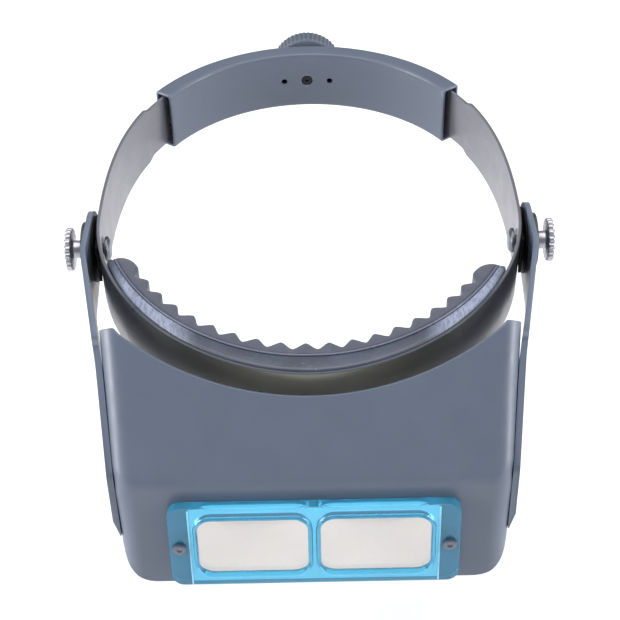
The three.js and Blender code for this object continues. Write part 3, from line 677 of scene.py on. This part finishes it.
def cut_hole(obj, x, y, radius):
    """Cuts a round hole along Y through obj, with its middle at x, y."""
    bm = bmesh.new()
    bmesh.ops.create_cone(bm, cap_ends=True, segments=32, radius1=radius * MM, radius2=radius * MM,
                          depth=6 * MM)
    mesh = bpy.data.meshes.new("cutter")
    bm.to_mesh(mesh)
    bm.free()
    cutter = bpy.data.objects.new("cutter", mesh)
    turn = Vector((0, 0, 1)).rotation_difference(Vector((0, 1, 0))).to_matrix().to_4x4()
    cutter.matrix_world = Matrix.Translation((x * MM, y * MM, 0)) @ turn
    bpy.context.scene.collection.objects.link(cutter)
    modify(obj, "BOOLEAN", operation="DIFFERENCE", object=cutter, solver="EXACT")
    applied(obj)
    bpy.data.objects.remove(cutter)


def housing():
    """The curved sleeve behind the head, open at both ends, with its lips rounded."""
    def section(inset, r):
        return fill_sides(round_box(HOUSING_INNER_R + inset, HOUSING_OUTER_R - inset,
                                    inset - HOUSING_HALF_HEIGHT, HOUSING_HALF_HEIGHT - inset, r, 6), 1.2)

    def outer(shrink):
        return section(shrink, 1.3 - shrink * 0.4)

    def inner(grow):
        return section(HOUSING_WALL - grow, 0.7 + grow * 0.3)

    end = HOUSING_HALF_ANGLE
    steps = 96
    lip = 0.45
    lip_angle = lip / HOUSING_OUTER_R
    ends = [(end - lip_angle, 0.0), (end - lip_angle * 0.45, 0.07), (end - lip_angle * 0.1, 0.22),
            (end, lip)]
    sections = [arc_section(outer(shrink), -angle) for angle, shrink in ends[::-1]]
    span = end - lip_angle
    sections += [arc_section(outer(0), -span + 2 * span * i / steps) for i in range(1, steps)]
    sections += [arc_section(outer(shrink), angle) for angle, shrink in ends]
    sections += [arc_section(inner(0.25), end), arc_section(inner(0.0), end - lip_angle)]
    sections += [arc_section(inner(0), span - 2 * span * i / steps) for i in range(1, steps)]
    sections += [arc_section(inner(0.0), -end + lip_angle), arc_section(inner(0.25), -end)]
    obj = make("rear_housing_look", *tube(sections, ring=True), GREY)
    back = HOUSING_CENTRE_Y + HOUSING_INNER_R
    cut_hole(obj, 0, back, HOUSING_SCREW_HOLE_R)
    for side in (-1, 1):
        cut_hole(obj, side * HOUSING_SIDE_HOLE_X, back, HOUSING_SIDE_HOLE_R)
    cut_hole(obj, 0, HOUSING_CENTRE_Y + HOUSING_OUTER_R, HOUSING_SHAFT_HOLE_R)
    obj.data.set_sharp_from_angle(angle=SHARP_ANGLE)
    return obj


place(housing(), "housing", "grey_moulding", "rear_housing")


# ---------------------------------------------------------------------- visor shell

UP = Vector((math.cos(UPPER_SLOPE), math.sin(UPPER_SLOPE)))
UP_IN = Vector((math.sin(UPPER_SLOPE), -math.cos(UPPER_SLOPE)))
DOWN = Vector((-math.sin(LOWER_TILT), -math.cos(LOWER_TILT)))
DOWN_IN = Vector((math.cos(LOWER_TILT), -math.sin(LOWER_TILT)))
BEND = math.pi / 2 - UPPER_SLOPE - LOWER_TILT
REACH = CREASE_R * math.tan(BEND / 2)
LOWER_LENGTH = (CREASE.y - LOWER_Z) / math.cos(LOWER_TILT)


def on_upper(s, n=0.0):
    return CREASE + s * UP + n * UP_IN


def on_lower(s, n=0.0):
    return CREASE + s * DOWN + n * DOWN_IN


def front_point(w):
    """(y, z) and inward direction on the front line; w runs 0..3 upper, 3..7 crease, 7..9 lower."""
    if w <= 3:
        return on_upper(UPPER_LENGTH + (REACH - UPPER_LENGTH) * w / 3), UP_IN
    if w <= 7:
        a = UPPER_SLOPE - math.pi / 2 + BEND * (w - 3) / 4
        inward = Vector((math.cos(a), math.sin(a)))
        return on_upper(REACH, CREASE_R) - CREASE_R * inward, inward
    return on_lower(REACH + (LOWER_LENGTH - REACH) * (w - 7) / 2), DOWN_IN


def half_width(y):
    return VISOR_HALF_WIDTH + VISOR_FLARE * max(0, y - VISOR_FLARE_Y)


def shell_point(column, w):
    """A point on the shell's outer skin; w as in front_point.

    A column is ("flat", share of the flat's half width), ("corner", degrees) or ("side", share).
    """
    front, _ = front_point(w)
    back = SIDE_BACK_TOP + (SIDE_BACK_BOTTOM - SIDE_BACK_TOP) * w / 9
    depth = (back - front).length
    d = (back - front) / depth
    kind, value = column
    if kind == "flat":
        return Vector((value * (half_width(front.x) - VISOR_CORNER_R), front.x, front.y))
    if kind == "corner":
        a = math.radians(value)
        x = -VISOR_CORNER_R * (1 - math.sin(a))
        tau = VISOR_CORNER_R * (1 - math.cos(a))
    else:
        x, tau = 0.0, VISOR_CORNER_R + (depth - VISOR_CORNER_R) * value
    p = front + d * tau
    return Vector((x + half_width(p.x), p.x, p.y))


def bisect(keep, cut, inside):
    """The border between a kept and a cut value of w."""
    for _ in range(40):
        middle = (keep + cut) / 2
        if inside(middle):
            cut = middle
        else:
            keep = middle
    return keep


def brow_cut(column):
    """Where the round brow opening ends a column at its top."""
    def inside(w):
        p = shell_point(column, w)
        s = (Vector((p.y, p.z)) - CREASE).dot(UP)
        return p.x ** 2 + (s - UPPER_AT_CENTRE - BROW_R) ** 2 < BROW_R ** 2
    return bisect(3.0, 0.0, inside) if inside(0.0) else 0.0


def corner_cut(column):
    """Where the bottom edge, with its round corners, ends a column."""
    def inside(w):
        p = shell_point(column, w)
        over = min(VISOR_BOTTOM_R, max(0, p.x - VISOR_HALF_WIDTH + VISOR_BOTTOM_R))
        return p.z < LOWER_Z + VISOR_BOTTOM_R - math.sqrt(VISOR_BOTTOM_R ** 2 - over ** 2) - 1e-6
    return bisect(7.0, 9.0, inside) if inside(9.0) else 9.0


def visor_shell():
    """The shell: columns of points from brow to bottom edge, open where the lenses are."""
    flat_limit = VISOR_HALF_WIDTH - VISOR_CORNER_R
    places = [*np.linspace(0, WINDOW_HALF_WIDTH, 21), *np.linspace(WINDOW_HALF_WIDTH, flat_limit, 10)]
    flats = sorted({round(x / flat_limit, 5) for x in places})
    half = [("flat", v) for v in flats] + [("corner", a) for a in range(10, 91, 10)] \
        + [("side", i / 16) for i in range(1, 17)]
    window_w = 7 + 2 * (((Vector(PLATE_CENTRE[1:]) - WINDOW_TOP * DOWN) - CREASE).dot(DOWN) - REACH) \
        / (LOWER_LENGTH - REACH)

    def rows(column):
        top, bottom = brow_cut(column), corner_cut(column)
        ws = [top + (3 - top) * i / 24 for i in range(24)]
        ws += [3 + 4 * i / 8 for i in range(9)]
        ws += [7 + (window_w - 7) * i / 5 for i in range(1, 6)]
        return ws + [window_w + (bottom - window_w) * i / 18 for i in range(1, 19)]

    window_row = 24 + 8 + 5
    right = [[shell_point(c, w) for w in rows(c)] for c in half]
    columns = [[Vector((-p.x, p.y, p.z)) for p in column] for column in right[:0:-1]] + right
    window = WINDOW_HALF_WIDTH / flat_limit + 1e-4
    flags = [c[0] == "flat" and c[1] <= window for c in half]
    flags = flags[:0:-1] + flags
    n = len(columns[0])
    verts = [p for column in columns for p in column]
    faces = []
    for i in range(len(columns) - 1):
        for j in range(n - 1):
            if flags[i] and flags[i + 1] and j >= window_row:
                continue
            faces.append((i * n + j, i * n + j + 1, (i + 1) * n + j + 1, (i + 1) * n + j))
    obj = make("visor_shell_look", verts, faces, GREY)
    outward(obj, Vector((0, -1, 0.6)))
    modify(obj, "SOLIDIFY", thickness=VISOR_WALL * MM, offset=-1, use_even_offset=True)
    bevelled(obj, 0.7, 3, 50)
    return applied(obj)


def outward(obj, direction):
    """Turns an open surface so that its largest faces look along direction."""
    facing = sum(p.area * p.normal.dot(direction) for p in obj.data.polygons)
    if facing < 0:
        obj.data.flip_normals()


place(visor_shell(), "visor", "grey_moulding", "visor_shell")


# ----------------------------------------------------------------------- visor arms

ARM_BEND_Y = -20.0
ARM_JOIN_Y = -80.0
ARM_END_R = 15.0
ARM_RAMP_Z = (-42.0, -35.0)
ARM_CLOSER = 0.34                   # how much nearer to the shell the inner face lies at the front


def smooth_step(x, start, end):
    t = min(1, max(0, (x - start) / (end - start)))
    return t * t * (3 - 2 * t)


def arm_x(y):
    """Outer face of the arm, seen from above."""
    join_x = half_width(ARM_JOIN_Y) + GAP + ARM_THICK
    if y > ARM_BEND_Y:
        return ARM_OUTER_X
    if y > ARM_JOIN_Y:
        return ARM_OUTER_X + (join_x - ARM_OUTER_X) * (ARM_BEND_Y - y) / (ARM_BEND_Y - ARM_JOIN_Y)
    return VISOR_HALF_WIDTH + GAP + ARM_THICK + VISOR_FLARE * (y - VISOR_FLARE_Y)


def rounded_path(points, radii, steps=6):
    """A closed (y, z) outline with each corner rounded."""
    out = []
    n = len(points)
    for i, (p, r) in enumerate(zip(points, radii)):
        a = (Vector(points[i - 1]) - Vector(p)).normalized()
        b = (Vector(points[(i + 1) % n]) - Vector(p)).normalized()
        if r == 0:
            out.append(Vector(p))
            continue
        half = a.angle(b) / 2
        reach = r / math.tan(half)
        start, end = Vector(p) + a * reach, Vector(p) + b * reach
        for k in range(steps + 1):
            t = k / steps
            out.append((1 - t) ** 2 * start + 2 * t * (1 - t) * Vector(p) + t * t * end)
    return out


def arm_outline():
    """The arm's outline in (y, z): a round end at the pivot, then along the shell's side."""
    points = []
    for k in range(41):
        a = math.radians(-97 + 193 * k / 40)
        points.append((ARM_END_R * math.cos(a), ARM_END_R * math.sin(a)))
    radii = [0] * len(points)
    for p, r in ((on_upper(49.5, 4) + Vector((0.6, -0.4)), 4.5), (CREASE + Vector((4.4, -0.6)), 9),
                 (on_lower(26.5, 4.2), 1.0), (on_lower(27, 12), 2), (Vector((-62, -29)), 8)):
        points.append(tuple(p))
        radii.append(r)
    return rounded_path(points, radii)


def plate_from(outline, holes, cuts, lift):
    """A flat (y, z) outline with round holes, cut along lines of equal y and lifted to x = lift(y)."""
    bm = bmesh.new()
    for loop in [outline] + holes:
        verts = [bm.verts.new((0, p[0], p[1])) for p in loop]
        for i, v in enumerate(verts):
            bm.edges.new((v, verts[(i + 1) % len(verts)]))
    bmesh.ops.triangle_fill(bm, use_beauty=True, use_dissolve=False, edges=bm.edges[:])
    for y in cuts:
        bmesh.ops.bisect_plane(bm, geom=bm.verts[:] + bm.edges[:] + bm.faces[:], plane_co=(0, y, 0),
                               plane_no=(0, 1, 0))
    for v in bm.verts:
        v.co.x = lift(v.co.y)
    bmesh.ops.scale(bm, vec=(MM, MM, MM), verts=bm.verts)
    mesh = bpy.data.meshes.new("plate")
    bm.to_mesh(mesh)
    bm.free()
    return mesh


def smooth_arm_x(y):
    """arm_x with its bends rounded over a few millimetres."""
    return sum(arm_x(y + d) * w for d, w in ((-3, 1), (-1.5, 2), (0, 3), (1.5, 2), (3, 1))) / 9


def arm():
    """A bent plate that lies against the shell; its lower end slopes down to it."""
    cuts = [ARM_BEND_Y + d for d in (-4, -2, 0, 2, 4)] + [ARM_JOIN_Y + d for d in (-4, -2, 0, 2, 4)] \
        + list(range(-72, -16, 8))
    mesh = plate_from(arm_outline(), [circle(PIVOT_HOLE_R)], cuts, smooth_arm_x)
    bm = bmesh.new()
    bm.from_mesh(mesh)
    low, high = (z * MM for z in ARM_RAMP_Z)
    for z in np.linspace(low, high, 5):
        bmesh.ops.bisect_plane(bm, geom=bm.verts[:] + bm.edges[:] + bm.faces[:], plane_co=(0, 0, z),
                               plane_no=(0, 0, 1))
    outer = bm.verts[:]
    border = [e for e in bm.edges if e.is_boundary]
    inner = {}
    for v in outer:
        depth = ARM_THICK * MM + ARM_CLOSER * MM * smooth_step(-v.co.y, 0.066, 0.08)
        inner[v] = bm.verts.new(v.co - Vector((depth, 0, 0)))
    for face in bm.faces[:]:
        bm.faces.new([inner[v] for v in reversed(face.verts)])
    for edge in border:
        a, b = edge.verts
        bm.faces.new((a, b, inner[b], inner[a]))
    for v in outer:
        share = min(1, max(0.12, (v.co.z - low) / (high - low)))
        v.co.x -= (1 - share) * ARM_THICK * MM
    bm.to_mesh(mesh)
    bm.free()
    return applied(bevelled(wrap("right_arm_look", mesh, GREY), 0.5, 3, 50))


right_arm = arm()
left_arm = mirrored(right_arm, "left_arm_look")
place(right_arm, "visor", "grey_moulding", "right_arm")
place(left_arm, "visor", "grey_moulding", "left_arm")


# ------------------------------------------------------------------- pivot hardware

def both_sides(obj, node, left_body, right_body, slot):
    """Places a right-hand piece and its mirror image."""
    other = mirrored(obj, f"left_{node}_look")
    place(obj, right_body, slot, f"right_{node}")
    place(other, left_body, slot, f"left_{node}")


def softened(profile, r):
    """Rounds the corners of a closed (x, radius) profile."""
    return [tuple(p) for p in rounded_path(profile, [r] * len(profile), 3)]


def disc():
    a, b = DISC
    profile = [(a, PIVOT_HOLE_R), (a + 0.9, PIVOT_HOLE_R), (a + 1.0, 7.0), (b, 8.5),
               (b, DISC_R), (a, DISC_R)]
    return make("right_pivot_disc_look", *turned(softened(profile, 0.3)), DISC_PLASTIC)


def washer_look():
    a, b = FRICTION_WASHER
    profile = [(a, PIVOT_HOLE_R), (b, PIVOT_HOLE_R), (b, FRICTION_WASHER_R), (a, FRICTION_WASHER_R)]
    return make("right_friction_washer_look", *turned(softened(profile, 0.12)), BLACK)


def screw_look():
    a, b = PIVOT_HEAD
    end = WHEEL[1] - 1.6
    profile = [(a, 0.01), (a, 3.7), (a + 0.9, PIVOT_HEAD_R), (b, PIVOT_HEAD_R), (b, 2.0), (end, 2.0),
               (end, 0.01)]
    radii = [0, 0.5, 0.4, 0.15, 0.1, 0.2, 0]
    rounded = [tuple(p) for p in rounded_path(profile, radii, 3)]
    return make("right_pivot_screw_look", *turned(rounded, 48), STEEL)


def lobed_wheel():
    """The thumb knob: a wheel of round lobes on a short neck."""
    step = 2 * math.pi / WHEEL_LOBES
    lobe_r = WHEEL_R * math.sin(step / 2) * LOBE_FILL
    ring = []
    for k in range(WHEEL_LOBES):
        a = k * step
        for i in range(9):
            t = a + math.radians(-LOBE_REACH + 2 * LOBE_REACH * i / 8)
            ring.append(((WHEEL_R - lobe_r) * math.cos(a) + lobe_r * math.cos(t),
                         (WHEEL_R - lobe_r) * math.sin(a) + lobe_r * math.sin(t)))
    a, b = WHEEL
    r = 0.7
    mean_r = 8.0

    def loop(x, k, round_share=0.0):
        """The lobed outline scaled by k, drawn towards a circle by round_share."""
        out = []
        for y, z in ring:
            d = math.hypot(y, z)
            want = d * (1 - round_share) + mean_r * round_share
            out.append((x, y / d * want * k, z / d * want * k))
        return out

    def disc_loop(x, rr):
        return [(x, y / math.hypot(y, z) * rr, z / math.hypot(y, z) * rr) for y, z in ring]

    sections = [disc_loop(HUB[0], PIVOT_HOLE_R), disc_loop(HUB[0], 3.2), disc_loop(HUB[0] + 0.15, 3.5),
                disc_loop(HUB[0] + 0.4, HUB_R), disc_loop(a - 0.6, HUB_R), disc_loop(a - 0.2, 3.75),
                disc_loop(a, 4.1), loop(a, 0.9, 0.5), loop(a + 0.1, 0.96, 0.1), loop(a + 0.3, 0.985),
                loop(a + r, 1.0), loop((a + b) / 2, 1.0), loop(b - r, 1.0), loop(b - 0.3, 0.985),
                loop(b - 0.1, 0.96, 0.1), loop(b, 0.9, 0.5), disc_loop(b, 5.6), disc_loop(b - 0.4, 5.0),
                disc_loop(b - 0.45, 2.6), disc_loop(b - 0.8, PIVOT_HOLE_R)]
    return make("right_thumb_knob_look", *tube(sections, ring=True), CHROME)


def spacer():
    """The block between the curved band and the flat arm, with its tongue along the band."""
    def beside(distance, t):
        p, d = bezier(FRONT_CURVE, t), bezier_turn(FRONT_CURVE, t)
        return (p.x + d.y * distance, p.y - d.x * distance)
    near = [beside(-GAP, TONGUE_CURVE[1] * i / 12) for i in range(13)]
    start_y, end_y = (bezier(FRONT_CURVE, t).y for t in TONGUE_CURVE)
    outline = [(SPACER[1], SPACER_BACK_Y), (SPACER[0], SPACER_BACK_Y)] + near \
        + [(TONGUE_X, end_y), (TONGUE_X, start_y), (SPACER[1], start_y)]
    sections = [[(x, y, z) for x, y in outline] for z in (-SPACER_HALF_HEIGHT, SPACER_HALF_HEIGHT)]
    obj = make("right_pivot_spacer_look", *tube(sections), BLACK)
    return applied(bevelled(obj, 0.15, 2, 30))


for look, node, left_body, right_body, slot_name in (
        (disc(), "pivot_disc", "visor", "visor", "disc_plastic"),
        (washer_look(), "friction_washer", "headband", "headband", "black_plastic"),
        (screw_look(), "pivot_screw", "headband", "headband", "steel"),
        (spacer(), "pivot_spacer", "headband", "headband", "black_plastic"),
        (lobed_wheel(), "thumb_knob", "left_knob", "right_knob", "chrome_parts")):
    both_sides(look, node, left_body, right_body, slot_name)


# ----------------------------------------------------------------- lens plate, lenses

PLATE_TURN = Matrix.Translation([c * MM for c in PLATE_CENTRE]) @ Matrix.Rotation(-LOWER_TILT, 4, "X")
RIM_HEIGHT = 0.9
RIM_WIDTH = 1.7


def on_plate(obj):
    """Moves a piece drawn in front of the plate's middle onto the plate's tilted plane."""
    obj.data.transform(PLATE_TURN)
    return obj


def rect_loop(width, height, r, y, x=0.0):
    outline = round_box(-width / 2, width / 2, -height / 2, height / 2, r, 8)
    return [(x + a, y, b) for a, b in outline]


def lens_frame():
    """The blue plate: one skin over its edge, two rimmed openings, and its front and back."""
    bm = bmesh.new()

    def add_loop(points):
        verts = [bm.verts.new(p) for p in points]
        edges = [bm.edges.new((v, verts[(i + 1) % len(verts)])) for i, v in enumerate(verts)]
        return verts, edges

    def skin(a, b):
        for i in range(len(a)):
            j = (i + 1) % len(a)
            bm.faces.new((a[i], a[j], b[j], b[i]))

    def border(y, shrink):
        return rect_loop(PLATE_WIDTH - 2 * shrink, PLATE_HEIGHT - 2 * shrink, PLATE_CORNER_R - shrink, y)

    # outer edge, front to back
    edge_loops = [add_loop(border(y, shrink)) for y, shrink in
                  ((0.0, 0.5), (0.12, 0.18), (0.5, 0.0), (PLATE_THICK - 0.5, 0.0),
                   (PLATE_THICK - 0.12, 0.18), (PLATE_THICK, 0.5))]
    for (a, _), (b, _) in zip(edge_loops, edge_loops[1:]):
        skin(a, b)
    front, back = list(edge_loops[0][1]), list(edge_loops[-1][1])

    # each lens opening: rim foot, rim top, sight wall, seat, back
    for side in (-1, 1):
        x = side * LENS_SPACING / 2
        steps = ((RIM_WIDTH, 0.0), (RIM_WIDTH - 0.15, -0.35), (RIM_WIDTH - 0.55, -RIM_HEIGHT + 0.1),
                 (0.65, -RIM_HEIGHT), (0.2, -RIM_HEIGHT + 0.2), (0.0, -0.2), (0.0, 1.0), (0.1, 1.2),
                 (1.1, 1.2), (1.1, PLATE_THICK - 0.3), (1.4, PLATE_THICK))
        loops = [add_loop(rect_loop(LENS_WIDTH + 2 * g, LENS_HEIGHT + 2 * g, LENS_CORNER_R + g, y, x))
                 for g, y in steps]
        for (a, _), (b, _) in zip(loops, loops[1:]):
            skin(a, b)
        front += loops[0][1]
        back += loops[-1][1]
    for edges in (front, back):
        bmesh.ops.triangle_fill(bm, use_beauty=True, use_dissolve=False, edges=edges)
    bmesh.ops.scale(bm, vec=(MM, MM, MM), verts=bm.verts)
    mesh = bpy.data.meshes.new("lens_frame_look")
    bm.to_mesh(mesh)
    bm.free()
    obj = wrap("lens_frame_look", mesh, ACRYLIC)
    modify(obj, "WEIGHTED_NORMAL", keep_sharp=True)
    return on_plate(applied(obj))


def lens(side, name):
    """A lens bulging on both faces, resting in the plate's seat."""
    trim = 0.8
    front_y, back_y = 1.5, PLATE_THICK
    loops = []
    bulge = ((0.02, 1.0), (0.25, 0.94), (0.5, 0.75), (0.75, 0.44), (0.92, 0.15), (1.0, 0.0))
    for k, rise in bulge:
        loops.append((k, front_y - 1.1 * rise))
    for k, rise in bulge[::-1]:
        loops.append((k, back_y - 0.9 + 0.9 * rise))
    sections = []
    for k, y in loops:
        w, h = (LENS_WIDTH + 2 * trim) * k, (LENS_HEIGHT + 2 * trim) * k
        sections.append(rect_loop(w, h, (LENS_CORNER_R + trim) * k, y, side * LENS_SPACING / 2))
    return on_plate(make(name, *tube(sections), GLASS))


def plate_screw(side, name):
    """A low domed head with a dimple, and its shank."""
    sections = []
    for y, r in ((-0.85, 0.75), (-1.25, 0.9), (-1.3, 1.2), (-1.25, 2.0), (-1.0, 2.4), (-0.6, 2.5),
                 (-0.3, 2.45), (-0.3, 1.4), (9.5, 1.4)):
        sections.append([(side * PLATE_SCREW_X + a, y, b) for a, b in circle(r, 36)])
    return on_plate(make(name, *tube(sections), SCREW))


def tab_rib(side):
    """A low rib where the lens plate ends and its screw tab starts."""
    x = side * (PLATE_WIDTH / 2 - TAB_WIDTH)
    sections = []
    for z in np.linspace(-PLATE_HEIGHT / 2 + 0.8, PLATE_HEIGHT / 2 - 0.8, 9):
        sections.append([(x + a, b, float(z)) for a, b in round_box(-0.3, 0.3, -0.3, 0.05, 0.12, 3)])
    return on_plate(make(f"tab_rib_{'left' if side < 0 else 'right'}", *tube(sections), ACRYLIC_EDGE))


place(lens_frame(), "visor", "blue_acrylic", "lens_frame")
place(tab_rib(-1), "visor", "blue_acrylic")
place(tab_rib(1), "visor", "blue_acrylic")
for word, sign in (("left", -1), ("right", 1)):
    place(lens(sign, f"{word}_lens_look"), "visor", "lens_glass", f"{word}_lens")
    place(plate_screw(sign, f"{word}_plate_screw_look"), "visor", "plate_screw_metal",
          f"{word}_plate_screw")


# ------------------------------------------------------------------------ rear knob

def adjust_knob():
    """A ribbed rear knob with a raised rim round a sunk flat face."""
    ribs, radius, start, length = 48, 15.6, 128.2, 8.2
    ring = []
    for k in range(ribs):
        for share, depth in ((0.0, 0.45), (0.2, 0.4), (0.35, 0.05), (0.5, 0.0), (0.65, 0.05),
                             (0.8, 0.4)):
            ring.append((2 * math.pi * (k + share) / ribs, depth))

    def loop(y, r, ribbed=0.0):
        return [((r - d * ribbed) * math.cos(t), y, (r - d * ribbed) * math.sin(t)) for t, d in ring]

    end = start + length
    sections = [loop(start, 3.2), loop(start, 14.2), loop(start + 0.3, 15.0, 0.3),
                loop(start + 0.9, radius, 1),
                loop(start + 3, radius, 1), loop(end - 2.2, radius, 1),
                loop(end - 0.9, radius - 0.25, 0.7), loop(end - 0.3, 14.6, 0.3),
                loop(end - 0.05, 13.8), loop(end, 12.8), loop(end - 0.1, 11.6),
                loop(end - 0.5, 11.0), loop(end - 0.5, 4), loop(end - 0.5, 0.05),
                loop(start + 4.8, 0.05), loop(start + 4.8, 3.2)]
    return make("adjust_knob_look", *tube(sections, ring=True), KNOB)


place(adjust_knob(), "size_knob", "knob_plastic", "adjust_knob")


# --------------------------------------------------- CAD nodes kept, with a new finish

for node_name, finish_material in (
        ("left_rack", STRAP), ("right_rack", STRAP), ("pinion", STEEL), ("adjust_screw", DARK_SCREW),
        ("knob_washer", STEEL), ("left_plate_nut", STEEL), ("right_plate_nut", STEEL)):
    cad_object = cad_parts[node_name]
    cad_object.data.materials.clear()
    cad_object.data.materials.append(finish_material)


# --------------------------------------------------------------------- floor, lights

FLOOR_Z = -110.0


def floor():
    n = Nodes("floor_look")
    color = srgb(244, 244, 245)
    n.set(color=n.mix(n.spread(n.noise(9, 3), 0, 1), scaled(color, 0.985), color), rough=0.7,
          specular=0.2, normal=n.bump(n.noise(400, 3), 0.05 * MM, 0.2))
    size = 4000
    step = 250
    count = 2 * size // step
    row = count + 1
    verts = [(-size + step * i, -size + step * j, FLOOR_Z) for i in range(row) for j in range(row)]
    faces = [(i * row + j, (i + 1) * row + j, (i + 1) * row + j + 1, i * row + j + 1)
             for i in range(count) for j in range(count)]
    make("floor", verts, faces, n.material)


def area_light(name, place_at, look_at, size, power, color=(1, 1, 1)):
    data = bpy.data.lights.new(name, "AREA")
    data.shape = "RECTANGLE"
    data.size, data.size_y = size
    data.energy = power
    data.color = color
    light = bpy.data.objects.new(name, data)
    light.location = place_at
    light.rotation_mode = "QUATERNION"
    light.rotation_quaternion = (Vector(look_at) - Vector(place_at)).to_track_quat("-Z", "Y")
    bpy.context.scene.collection.objects.link(light)


def lights():
    world = bpy.data.worlds.new("studio")
    bpy.context.scene.world = world
    world.use_nodes = True
    background = world.node_tree.nodes["Background"]
    background.inputs["Color"].default_value = (0.98, 0.99, 1.0, 1)
    background.inputs["Strength"].default_value = 0.38
    area_light("top", (0, 0.2, 1.3), (0, -0.05, 0), (1.8, 1.4), 19, (1.0, 0.985, 0.97))
    area_light("left", (-1.2, -0.3, 0.3), (0, -0.08, 0), (0.5, 1.0), 22)
    area_light("right", (1.2, -0.3, 0.3), (0, -0.08, 0), (0.5, 1.0), 18)


floor()
lights()
bpy.context.scene.view_settings.view_transform = "Standard"

bpy.context.view_layer.update()
